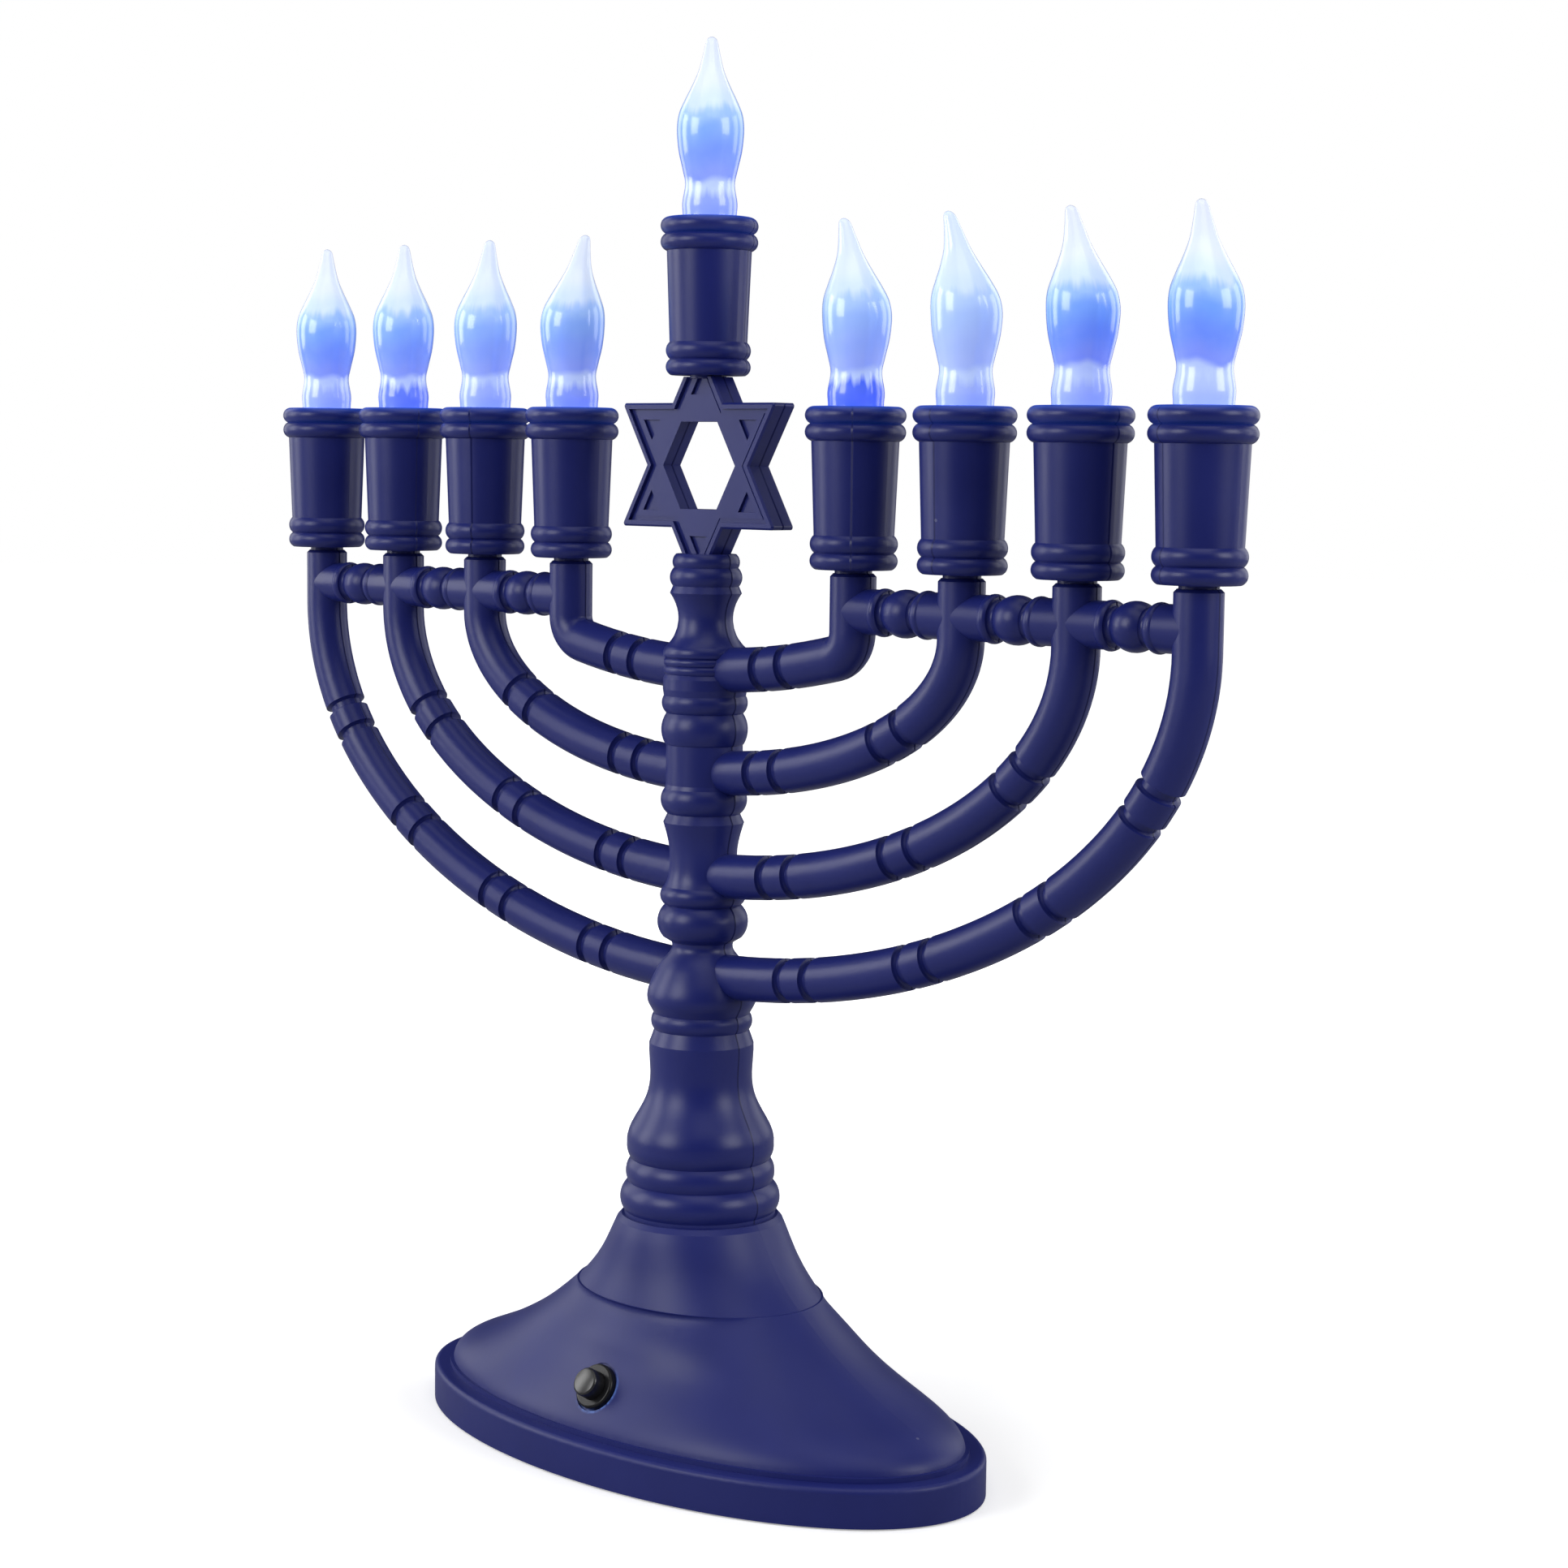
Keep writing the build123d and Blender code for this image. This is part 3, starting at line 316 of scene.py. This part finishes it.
def navy_plastic(
    name, centre=(0, 0, 0), turn=0.0, seam=1.0, painted_glow_height=None, painted_seat_glint=False, gloss=0.30
):
    """Satin navy moulding with a parting line darkened by painted shade, and if asked painted lamp
    light at a cup's mouth or a painted highlight on the button seat's edge.
    """
    material, tree, shader = new_material(name)
    place = object_vector(tree)
    local = object_vector(tree, centre, turn)
    skin = add_group(tree, SKIN, place, Gloss_Low=gloss, Gloss_High=gloss + GLOSS_SPREAD)
    line = add_group(tree, PARTING, local)
    specks = add_group(tree, SPECKS, place, Amount=0.55)
    colour = mix_colour(tree, skin.outputs["Cloud"], NAVY_DEEP, NAVY)
    # painted shade: the colour is darkened along the parting line
    seam_shade_mask = math_node(tree, "MULTIPLY", line.outputs["Mask"], SEAM_PAINTED_SHADE * seam)
    colour = mix_colour(tree, seam_shade_mask, colour, NAVY_PAINTED_SEAM_SHADE)
    colour = mix_colour(tree, specks.outputs["Mask"], colour, NAVY_SPECK)
    # painted highlight along the edge of the button's seat
    if painted_seat_glint:
        seat_glint = add_group(tree, EDGE_GLINT, object_vector(tree, BUTTON_CENTRE, tilt=BUTTON_TILT))
        colour = mix_colour(tree, seat_glint.outputs["Mask"], colour, NAVY_PAINTED_GLINT)
    tree.links.new(colour, shader.inputs["Base Color"])
    tree.links.new(skin.outputs["Roughness"], shader.inputs["Roughness"])
    shader.inputs["Specular IOR Level"].default_value = 0.38
    relief = bump(tree, shader, skin.outputs["Relief"], 0.25, 0.00006)
    bump(tree, shader, line.outputs["Step"], 0.8 * seam, 0.0003, relief)
    # painted lamp light: the cup's plastic is made to glow round its mouth
    if painted_glow_height is not None:
        split = tree.nodes.new("ShaderNodeSeparateXYZ")
        tree.links.new(local, split.inputs[0])
        below = math_node(tree, "SUBTRACT", painted_glow_height, split.outputs["Z"])
        fade = math_node(tree, "MULTIPLY_ADD", below, -1 / RIM_GLOW_REACH, 1.0, clamp=True)
        square_x = math_node(tree, "MULTIPLY", split.outputs["X"], split.outputs["X"])
        square_y = math_node(tree, "MULTIPLY", split.outputs["Y"], split.outputs["Y"])
        radial = math_node(tree, "SQRT", math_node(tree, "ADD", square_x, square_y))
        reach = RIM_GLOW_RADIUS / RIM_GLOW_REACH
        inner = math_node(tree, "MULTIPLY_ADD", radial, -1 / RIM_GLOW_REACH, reach, clamp=True)
        glow = math_node(tree, "MULTIPLY", fade, inner)
        painted_glow_colour = mix_colour(tree, glow, (0.0, 0.0, 0.0), PAINTED_RIM_GLOW)
        tree.links.new(painted_glow_colour, shader.inputs["Emission Color"])
        shader.inputs["Emission Strength"].default_value = RIM_GLOW_STRENGTH
    return material


def plain_plastic(
    name, base, deep, gloss_low, gloss_high, grain=2600.0, relief_depth=0.00006, shine=0.5
):
    """A moulded plastic of another colour on the same skin."""
    material, tree, shader = new_material(name)
    place = object_vector(tree)
    skin = add_group(tree, SKIN, place, Grain_Size=grain, Gloss_Low=gloss_low, Gloss_High=gloss_high)
    specks = add_group(tree, SPECKS, place, Amount=0.15)
    colour = mix_colour(tree, skin.outputs["Cloud"], deep, base)
    colour = mix_colour(tree, specks.outputs["Mask"], colour, (0.3, 0.3, 0.32))
    tree.links.new(colour, shader.inputs["Base Color"])
    tree.links.new(skin.outputs["Roughness"], shader.inputs["Roughness"])
    shader.inputs["Specular IOR Level"].default_value = shine
    bump(tree, shader, skin.outputs["Relief"], 0.3, relief_depth)
    return material


def crowned_cap(name):
    """Glossy black cap plastic, its face swelling slightly to the middle."""
    material, tree, shader = new_material(name)
    place = object_vector(tree)
    own = object_vector(tree, BUTTON_CENTRE, tilt=BUTTON_TILT)
    skin = add_group(tree, SKIN, place, Gloss_Low=0.24, Gloss_High=0.32)
    colour = mix_colour(tree, skin.outputs["Cloud"], (0.006, 0.006, 0.007), (0.014, 0.014, 0.016))
    tree.links.new(colour, shader.inputs["Base Color"])
    tree.links.new(skin.outputs["Roughness"], shader.inputs["Roughness"])
    shader.inputs["Specular IOR Level"].default_value = 0.7
    split = tree.nodes.new("ShaderNodeSeparateXYZ")
    tree.links.new(own, split.inputs[0])
    across = math_node(tree, "MULTIPLY", split.outputs["X"], 1 / CAP_RADIUS)
    along = math_node(tree, "MULTIPLY", split.outputs["Y"], 1 / CAP_RADIUS)
    spread = math_node(tree, "MULTIPLY_ADD", across, across, math_node(tree, "MULTIPLY", along, along))
    crown = math_node(tree, "SUBTRACT", 1.0, spread)
    relief = bump(tree, shader, skin.outputs["Relief"], 0.2, 0.00002)
    bump(tree, shader, crown, 1.0, 0.0004, relief)
    return material


def plated_steel(name, base):
    """Plated steel with a fine grain and dull spots."""
    material, tree, shader = new_material(name)
    place = object_vector(tree)
    skin = add_group(tree, SKIN, place, Grain_Size=5200.0, Gloss_Low=0.2, Gloss_High=0.42)
    colour = mix_colour(tree, skin.outputs["Cloud"], tuple(0.72 * c for c in base), base)
    tree.links.new(colour, shader.inputs["Base Color"])
    tree.links.new(skin.outputs["Roughness"], shader.inputs["Roughness"])
    shader.inputs["Metallic"].default_value = 1.0
    bump(tree, shader, skin.outputs["Relief"], 0.2, 0.00004)
    return material


JACKET_SPAN = 0.056  # the length that the bands are spread over


def battery_jacket(name):
    """A shrunk sleeve: green body with a pale band towards one end, no markings."""
    material, tree, shader = new_material(name)
    place = object_vector(tree)
    skin = add_group(tree, SKIN, place, Gloss_Low=0.22, Gloss_High=0.34)
    split = tree.nodes.new("ShaderNodeSeparateXYZ")
    tree.links.new(place, split.inputs[0])
    share = math_node(tree, "MULTIPLY_ADD", split.outputs["X"], 1 / JACKET_SPAN, 0.5)
    bands = ramp(tree, share, [
        (0.0, (0.55, 0.55, 0.55)), (0.035, (0.55, 0.55, 0.55)), (0.045, (0.02, 0.13, 0.06)),
        (0.7, (0.02, 0.16, 0.07)), (0.71, (0.62, 0.6, 0.5)), (0.96, (0.62, 0.6, 0.5)),
    ], smooth=False)
    grime = math_node(tree, "MULTIPLY", skin.outputs["Cloud"], 0.3)
    colour = mix_colour(tree, grime, bands, (0.02, 0.05, 0.03))
    tree.links.new(colour, shader.inputs["Base Color"])
    tree.links.new(skin.outputs["Roughness"], shader.inputs["Roughness"])
    bump(tree, shader, skin.outputs["Relief"], 0.15, 0.00003)
    return material


def board_laminate(name):
    """Green solder mask with copper tracks showing faintly through it."""
    material, tree, shader = new_material(name)
    place = object_vector(tree)
    skin = add_group(tree, SKIN, place, Gloss_Low=0.2, Gloss_High=0.32)
    tracks = tree.nodes.new("ShaderNodeTexBrick")
    tracks.inputs["Scale"].default_value = 260.0
    tracks.inputs["Mortar Size"].default_value = 0.05
    tracks.inputs["Color1"].default_value = (0.008, 0.11, 0.035, 1)
    tracks.inputs["Color2"].default_value = (0.01, 0.13, 0.04, 1)
    tracks.inputs["Mortar"].default_value = (0.03, 0.22, 0.06, 1)
    tree.links.new(place, tracks.inputs["Vector"])
    shade = math_node(tree, "MULTIPLY", skin.outputs["Cloud"], 0.25)
    colour = mix_colour(tree, shade, tracks.outputs["Color"], (0.0, 0.05, 0.02))
    tree.links.new(colour, shader.inputs["Base Color"])
    tree.links.new(skin.outputs["Roughness"], shader.inputs["Roughness"])
    bump(tree, shader, tracks.outputs["Fac"], 0.2, 0.00005)
    return material


LAMP_HEIGHT = 41.4
LAMP_GLOW = 0.42


def lamp_shell(name):
    """Frosted lamp plastic lit from inside: pale tip, blue body with drips, pale neck, blue foot."""
    material, tree, shader = new_material(name)
    attribute = tree.nodes.new("ShaderNodeAttribute")
    attribute.attribute_name = "own_place"
    own = attribute.outputs["Vector"]
    split = tree.nodes.new("ShaderNodeSeparateXYZ")
    tree.links.new(own, split.inputs[0])
    place = object_vector(tree)
    angle = math_node(tree, "ARCTAN2", split.outputs["Y"], split.outputs["X"])
    # drips: noise that changes round the lamp and hardly at all up it
    around = tree.nodes.new("ShaderNodeCombineXYZ")
    tree.links.new(math_node(tree, "COSINE", angle), around.inputs["X"])
    tree.links.new(math_node(tree, "SINE", angle), around.inputs["Y"])
    where = tree.nodes.new("ShaderNodeSeparateXYZ")
    tree.links.new(place, where.inputs[0])
    tree.links.new(math_node(tree, "MULTIPLY", where.outputs["X"], 9.0), around.inputs["Z"])
    drips = noise(tree, around.outputs[0], 3.4, 2.0, 0.6)
    slow = noise(tree, around.outputs[0], 0.9, 1.0)
    fog = noise(tree, own, 140.0, 2.0)
    height = math_node(tree, "DIVIDE", split.outputs["Z"], LAMP_HEIGHT * MM)
    shoulder = math_node(tree, "MULTIPLY_ADD", height, 6.5, -3.3, clamp=True)
    near_edge = math_node(tree, "MULTIPLY", shoulder, math_node(tree, "SUBTRACT", 1.0, shoulder))
    push = math_node(tree, "MULTIPLY", math_node(tree, "SUBTRACT", drips, 0.5), 0.62)
    pushed = math_node(tree, "MULTIPLY_ADD", near_edge, push, height)
    lift = math_node(tree, "MULTIPLY_ADD", slow, 0.10, -0.05)
    level = math_node(tree, "ADD", pushed, lift, clamp=True)
    colour = ramp(tree, level, [
        (0.00, (0.42, 0.54, 1.00)),
        (0.12, (0.46, 0.58, 1.00)),
        (0.17, (0.44, 0.56, 1.00)),
        (0.22, (0.15, 0.24, 0.96)),
        (0.33, (0.09, 0.22, 0.98)),
        (0.47, (0.14, 0.33, 0.98)),
        (0.55, (0.25, 0.46, 0.98)),
        (0.63, (0.56, 0.70, 0.98)),
        (0.75, (0.68, 0.76, 0.92)),
        (1.00, (0.66, 0.71, 0.84)),
    ])
    lit = tree.nodes.new("ShaderNodeAttribute")
    lit.attribute_name = "lit"
    shares = tree.nodes.new("ShaderNodeSeparateXYZ")
    tree.links.new(lit.outputs["Vector"], shares.inputs[0])
    ragged = math_node(tree, "MULTIPLY_ADD", drips, 0.16, height)
    pale = math_node(tree, "MULTIPLY", shares.outputs["X"], 0.75)
    colour = mix_colour(tree, pale, colour, (0.55, 0.70, 0.98))
    low = math_node(tree, "MULTIPLY_ADD", ragged, -20.0, 4.6, clamp=True)
    foot = math_node(tree, "MULTIPLY", low, shares.outputs["Y"])
    colour = mix_colour(tree, foot, colour, (0.04, 0.12, 0.95))
    # painted shade: where the shell is seen edge-on its colour is tinted a deeper blue
    outline = tree.nodes.new("ShaderNodeLayerWeight")
    outline.inputs["Blend"].default_value = 0.5
    rim = math_node(tree, "MULTIPLY_ADD", outline.outputs["Facing"], 2.6, -1.75, clamp=True)
    rim = math_node(tree, "MULTIPLY", rim, 0.55)
    colour = mix_colour(tree, rim, colour, (0.22, 0.34, 0.90))
    haze = math_node(tree, "MULTIPLY", fog, 0.16)
    misted = mix_colour(tree, haze, colour, (0.75, 0.84, 1.0))
    tree.links.new(misted, shader.inputs["Base Color"])
    tree.links.new(misted, shader.inputs["Emission Color"])
    shader.inputs["Emission Strength"].default_value = LAMP_GLOW
    shader.inputs["Roughness"].default_value = 0.22
    shader.inputs["IOR"].default_value = 1.49
    shader.inputs["Coat Weight"].default_value = 0.5
    shader.inputs["Coat Roughness"].default_value = 0.04
    ripple = noise(tree, around.outputs[0], 2.2, 1.0)
    bump(tree, shader, ripple, 0.18, 0.0004)
    return material


def lens_epoxy(name):
    """Clear cast lens of a light-emitting diode, lit blue."""
    material, tree, shader = new_material(name)
    place = object_vector(tree)
    fog = noise(tree, place, 300.0, 2.0)
    colour = mix_colour(tree, fog, (0.35, 0.45, 1.0), (0.6, 0.7, 1.0))
    tree.links.new(colour, shader.inputs["Base Color"])
    tree.links.new(colour, shader.inputs["Emission Color"])
    shader.inputs["Emission Strength"].default_value = 2.0
    shader.inputs["Roughness"].default_value = 0.1
    return material


BODY_PLASTIC = navy_plastic("navy_body_plastic")
# the base's button seat carries a painted highlight on its edge
BASE_PLASTIC = navy_plastic("navy_base_plastic", seam=0.0, painted_seat_glint=True, gloss=0.38)
BLACK_GLOSS = plain_plastic(
    "black_button_plastic", (0.012, 0.012, 0.014), (0.006, 0.006, 0.007), 0.2, 0.3,
    relief_depth=0.00003, shine=0.25,
)
CAP_PLASTIC = crowned_cap("button_cap_plastic")
BLACK_MATT = plain_plastic(
    "black_underside_plastic", (0.022, 0.022, 0.025), (0.012, 0.012, 0.014), 0.5, 0.62,
    grain=3400.0, relief_depth=0.0001,
)
FOOT_RUBBER = plain_plastic(
    "foot_rubber", (0.03, 0.03, 0.03), (0.018, 0.018, 0.018), 0.75, 0.88,
    grain=1800.0, relief_depth=0.0001,
)
ZINC_STEEL = plated_steel("zinc_steel", (0.62, 0.62, 0.64))
NICKEL_STEEL = plated_steel("nickel_steel", (0.72, 0.69, 0.64))
JACKET = battery_jacket("battery_jacket")
LAMINATE = board_laminate("board_laminate")
LAMP = lamp_shell("lamp_shell")
LENS = lens_epoxy("lens_epoxy")
WIRE = plain_plastic("wire_jacket", (0.03, 0.03, 0.3), (0.02, 0.02, 0.2), 0.4, 0.5)

NODE_MATERIALS = {
    "base_cover": BASE_PLASTIC,
    "stem_front_shell": BODY_PLASTIC,
    "stem_rear_shell": BODY_PLASTIC,
    "right_arms_front": BODY_PLASTIC,
    "right_arms_rear": BODY_PLASTIC,
    "left_arms_front": BODY_PLASTIC,
    "left_arms_rear": BODY_PLASTIC,
    "bottom_plate": BLACK_MATT,
    "battery_door": BLACK_MATT,
    "led_holders": BLACK_MATT,
    "stem_nut": BLACK_MATT,
    "rubber_feet": FOOT_RUBBER,
    "button_body": BLACK_GLOSS,
    "button_cap": CAP_PLASTIC,
    "button_nut": BLACK_GLOSS,
    "wire_socket": BLACK_GLOSS,
    "control_chip": BLACK_GLOSS,
    "base_screws": ZINC_STEEL,
    "board_screws": ZINC_STEEL,
    "button_spring": ZINC_STEEL,
    "button_terminals": ZINC_STEEL,
    "battery_contacts": NICKEL_STEEL,
    "battery_springs": NICKEL_STEEL,
    "battery_1": JACKET,
    "battery_2": JACKET,
    "battery_3": JACKET,
    "circuit_board": LAMINATE,
    "leds": LENS,
    "wire_harness": WIRE,
}
CUP_SEAMS = [64, -20, 118, 35, -52, 88, -8, 71, 20]  # degrees, where each cup's parting line stands
# each cup gets a parting line with painted shade, and painted lamp light round its mouth
for cup_name, seam_turn in zip(CUPS, CUP_SEAMS):
    NODE_MATERIALS[cup_name] = navy_plastic(
        "navy_" + cup_name,
        centre=(CUP_AXIS[cup_name], 0, 0),
        turn=math.radians(seam_turn),
        seam=0.7,
        painted_glow_height=CUP_RIM[cup_name],
    )


def dress(piece, material):
    """Gives a piece one material."""
    piece.data.materials.clear()
    piece.data.materials.append(material)


for node_name, material in NODE_MATERIALS.items():
    dress(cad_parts[node_name], material)

# ---- Lamp caps ------------------------------------------------------------------------------------

# outline over the cup's rim, (height, radius) in millimetres
LAMP_OUTLINE = [
    (-7.4, 6.2), (0.0, 6.2), (3.2, 6.35), (7.4, 5.72), (10.6, 6.3), (15.0, 7.3), (19.8, 7.72),
    (23.4, 7.3), (26.6, 6.0), (29.8, 4.45), (33.4, 2.95), (37.4, 1.95), (40.2, 1.35), (41.0, 0.9),
]
OUTLINE_STEPS = 5
LAMP_SIDES = 72
LAMP_BOTTOM = -8.0
LAMP_BEND = 4.4
LAMP_BEND_START = 19.0
LAMP_TURNS = [138.0, 137.0, 125.0, 93.0, 180.0, 212.0, 173.0, 146.0, 133.0]
# how pale each lamp's body is and how blue its foot, from 0 to 1; the 0 only fills up the vector
LAMP_LIT = [
    (0.10, 0.35, 0), (0.15, 0.85, 0), (0.30, 0.35, 0), (0.20, 0.60, 0), (0.45, 1.00, 0),
    (0.75, 0.35, 0), (0.00, 0.30, 0), (0.00, 0.12, 0), (0.15, 0.50, 0),
]


def smooth_outline(points, steps):
    """Points on a smooth curve through the given ones."""
    smooth = []
    for k in range(len(points) - 1):
        before = Vector(points[max(k - 1, 0)])
        first = Vector(points[k])
        second = Vector(points[k + 1])
        after = Vector(points[min(k + 2, len(points) - 1)])
        for step in range(steps):
            t = step / steps
            linear = (second - before) * t
            square = (2 * before - 5 * first + 4 * second - after) * t**2
            cube = (3 * first - before - 3 * second + after) * t**3
            smooth.append(0.5 * (2 * first + linear + square + cube))
    return smooth + [Vector(points[-1])]


def lamp_lean(height):
    """How far the lamp's middle line leans over at a height, in millimetres."""
    share = max(0.0, height - LAMP_BEND_START) / (LAMP_HEIGHT - LAMP_BEND_START)
    return LAMP_BEND * share**1.5


def lamp_cap(name, centre_x, rim_z, turn, lit_shares):
    """A lamp cap spun from its outline, its tip bent over and turned in its cup."""
    bm = bmesh.new()
    outline = [(LAMP_BOTTOM, 0.0), (LAMP_BOTTOM, 5.6)]
    outline += [tuple(point) for point in smooth_outline(LAMP_OUTLINE, OUTLINE_STEPS)]
    outline += [(41.3, 0.45), (LAMP_HEIGHT, 0.0)]
    verts = [bm.verts.new((radius, 0, height)) for height, radius in outline]
    edges = [bm.edges.new(pair) for pair in zip(verts, verts[1:])]
    bmesh.ops.spin(
        bm, geom=verts + edges, axis=(0, 0, 1), cent=(0, 0, 0),
        angle=math.tau, steps=LAMP_SIDES, use_merge=True,
    )
    bmesh.ops.remove_doubles(bm, verts=bm.verts, dist=0.001)
    bmesh.ops.recalc_face_normals(bm, faces=bm.faces)
    own_places = [vert.co * MM for vert in bm.verts]
    for vert in bm.verts:
        vert.co.x += lamp_lean(vert.co.z)
    bmesh.ops.scale(bm, vec=(MM, MM, MM), verts=bm.verts)
    twist = Matrix.Rotation(math.radians(turn), 3, "Z")
    bmesh.ops.rotate(bm, cent=(0, 0, 0), matrix=twist, verts=bm.verts)
    bmesh.ops.translate(bm, vec=(centre_x, 0, rim_z), verts=bm.verts)
    for face in bm.faces:
        face.smooth = True
    mesh = bpy.data.meshes.new(name)
    bm.to_mesh(mesh)
    bm.free()
    layer = mesh.attributes.new("own_place", "FLOAT_VECTOR", "POINT")
    shares = mesh.attributes.new("lit", "FLOAT_VECTOR", "POINT")
    for k, place in enumerate(own_places):
        layer.data[k].vector = place
        shares.data[k].vector = lit_shares
    piece = bpy.data.objects.new(name, mesh)
    bpy.context.scene.collection.objects.link(piece)
    dress(piece, LAMP)
    return piece


for cup_name, lamp_name, turn, lit_shares in zip(CUPS, LAMPS, LAMP_TURNS, LAMP_LIT):
    cap_name = cup_name.replace("cup", "lamp_cap")
    cap = lamp_cap(cap_name, CUP_AXIS[cup_name], CUP_RIM[cup_name], turn, lit_shares)
    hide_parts(lamp_name)
    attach(cap, lamp_name)

# ---- Camera -----------------------------------------------------------------------------------------

CAMERA_TURN = math.radians(43.106)
CAMERA_PITCH = math.radians(5.885)
CAMERA_ROLL = math.radians(0.722)
CAMERA_DISTANCE = 0.7348
CAMERA_LENS = 72.0
CAMERA_SENSOR = 36.0
AIM_RIGHT = 0.01873
AIM_HEIGHT = 0.15781
AIM = Vector((AIM_RIGHT * math.cos(CAMERA_TURN), AIM_RIGHT * math.sin(CAMERA_TURN), AIM_HEIGHT))

back = Vector((
    math.sin(CAMERA_TURN) * math.cos(CAMERA_PITCH),
    -math.cos(CAMERA_TURN) * math.cos(CAMERA_PITCH),
    math.sin(CAMERA_PITCH),
))
level_right = Vector((math.cos(CAMERA_TURN), math.sin(CAMERA_TURN), 0))
level_up = back.cross(level_right)
right = math.cos(CAMERA_ROLL) * level_right + math.sin(CAMERA_ROLL) * level_up
up = math.cos(CAMERA_ROLL) * level_up - math.sin(CAMERA_ROLL) * level_right
camera_data = bpy.data.cameras.new("camera")
camera_data.lens = CAMERA_LENS
camera_data.sensor_width = CAMERA_SENSOR
camera = bpy.data.objects.new("camera", camera_data)
bpy.context.scene.collection.objects.link(camera)
camera.matrix_world = Matrix.Translation(AIM + back * CAMERA_DISTANCE) @ Matrix(
    (right, up, back)
).transposed().to_4x4()
bpy.context.scene.camera = camera

# ---- Lights and floor --------------------------------------------------------------------------------


LIGHT_AIM = Vector((0, 0, 0.17))


def soft_box(name, turn, height, distance, size, power):
    """A soft box at a turn from the camera's side, in degrees to its right, aimed at the stem."""
    light = bpy.data.lights.new(name, "AREA")
    light.shape = "RECTANGLE"
    light.size, light.size_y = size
    light.energy = power
    lamp = bpy.data.objects.new(name, light)
    bpy.context.scene.collection.objects.link(lamp)
    bearing = CAMERA_TURN + math.radians(turn)
    place = Vector((math.sin(bearing) * distance, -math.cos(bearing) * distance, height))
    facing = (place - LIGHT_AIM).to_track_quat("Z", "Y").to_matrix().to_4x4()
    lamp.matrix_world = Matrix.Translation(place) @ facing


soft_box("side_left", -56, 0.58, 1.1, (0.55, 0.6), 6.2)
soft_box("edge_left", -100, 0.45, 1.1, (0.4, 0.7), 4.2)
soft_box("back_left", -135, 0.50, 1.1, (0.5, 0.9), 2.2)
soft_box("side_right", 56, 0.58, 1.1, (0.55, 0.6), 5.2)
soft_box("edge_right", 100, 0.45, 1.1, (0.4, 0.7), 2.2)
soft_box("back_right", 135, 0.50, 1.1, (0.5, 0.9), 2.0)
soft_box("high_front", 10, 1.3, 0.8, (0.9, 0.9), 2.4)
soft_box("overhead", 0, 1.4, 0.02, (1.2, 1.2), 4.4)

ROOM_LIGHT = 0.03

world = bpy.data.worlds.new("studio")
bpy.context.scene.world = world
world.use_nodes = True
sky = world.node_tree.nodes["Background"]
sky.inputs["Color"].default_value = (1, 1, 1, 1)
seen = world.node_tree.nodes.new("ShaderNodeLightPath")
level = world.node_tree.nodes.new("ShaderNodeMapRange")
level.inputs["To Min"].default_value = ROOM_LIGHT
level.inputs["To Max"].default_value = 1.0
world.node_tree.links.new(seen.outputs["Is Camera Ray"], level.inputs["Value"])
world.node_tree.links.new(level.outputs[0], sky.inputs["Strength"])
bpy.context.scene.view_settings.view_transform = "Standard"

FLOOR_RADIUS = 6.0
# painted light on the seen floor, dimmer near the stem as painted shade; how brightly it shines: under
# the stem, more for each metre away from it, and at most
FLOOR_LIFT = 0.30
FLOOR_LIFT_RISE = 1.1
FLOOR_LIFT_MOST = 1.05

floor_mesh = bmesh.new()
bmesh.ops.create_circle(floor_mesh, cap_ends=True, radius=FLOOR_RADIUS, segments=96)
floor_data = bpy.data.meshes.new("floor")
floor_mesh.to_mesh(floor_data)
floor_mesh.free()
floor = bpy.data.objects.new("floor", floor_data)
bpy.context.scene.collection.objects.link(floor)
floor_paint, floor_tree, floor_shader = new_material("floor_paint")
floor_shader.inputs["Roughness"].default_value = 0.9
floor_shader.inputs["Specular IOR Level"].default_value = 0.1
floor_shader.inputs["Emission Color"].default_value = (1, 1, 1, 1)
seen_floor = floor_tree.nodes.new("ShaderNodeLightPath").outputs["Is Camera Ray"]
floor_colour = mix_colour(floor_tree, seen_floor, (0.42, 0.42, 0.43), (0.93, 0.93, 0.935))
floor_tree.links.new(floor_colour, floor_shader.inputs["Base Color"])
from_stem = floor_tree.nodes.new("ShaderNodeVectorMath")
from_stem.operation = "LENGTH"
floor_tree.links.new(object_vector(floor_tree), from_stem.inputs[0])
# painted light: the seen floor glows more the farther it is from the stem, leaving painted shade near
# it
floor_glow_by_distance = math_node(
    floor_tree, "MULTIPLY_ADD", from_stem.outputs["Value"], FLOOR_LIFT_RISE, FLOOR_LIFT
)
floor_glow_by_distance = math_node(floor_tree, "MINIMUM", floor_glow_by_distance, FLOOR_LIFT_MOST)
floor_lift = math_node(floor_tree, "MULTIPLY", seen_floor, floor_glow_by_distance)
floor_tree.links.new(floor_lift, floor_shader.inputs["Emission Strength"])
dress(floor, floor_paint)
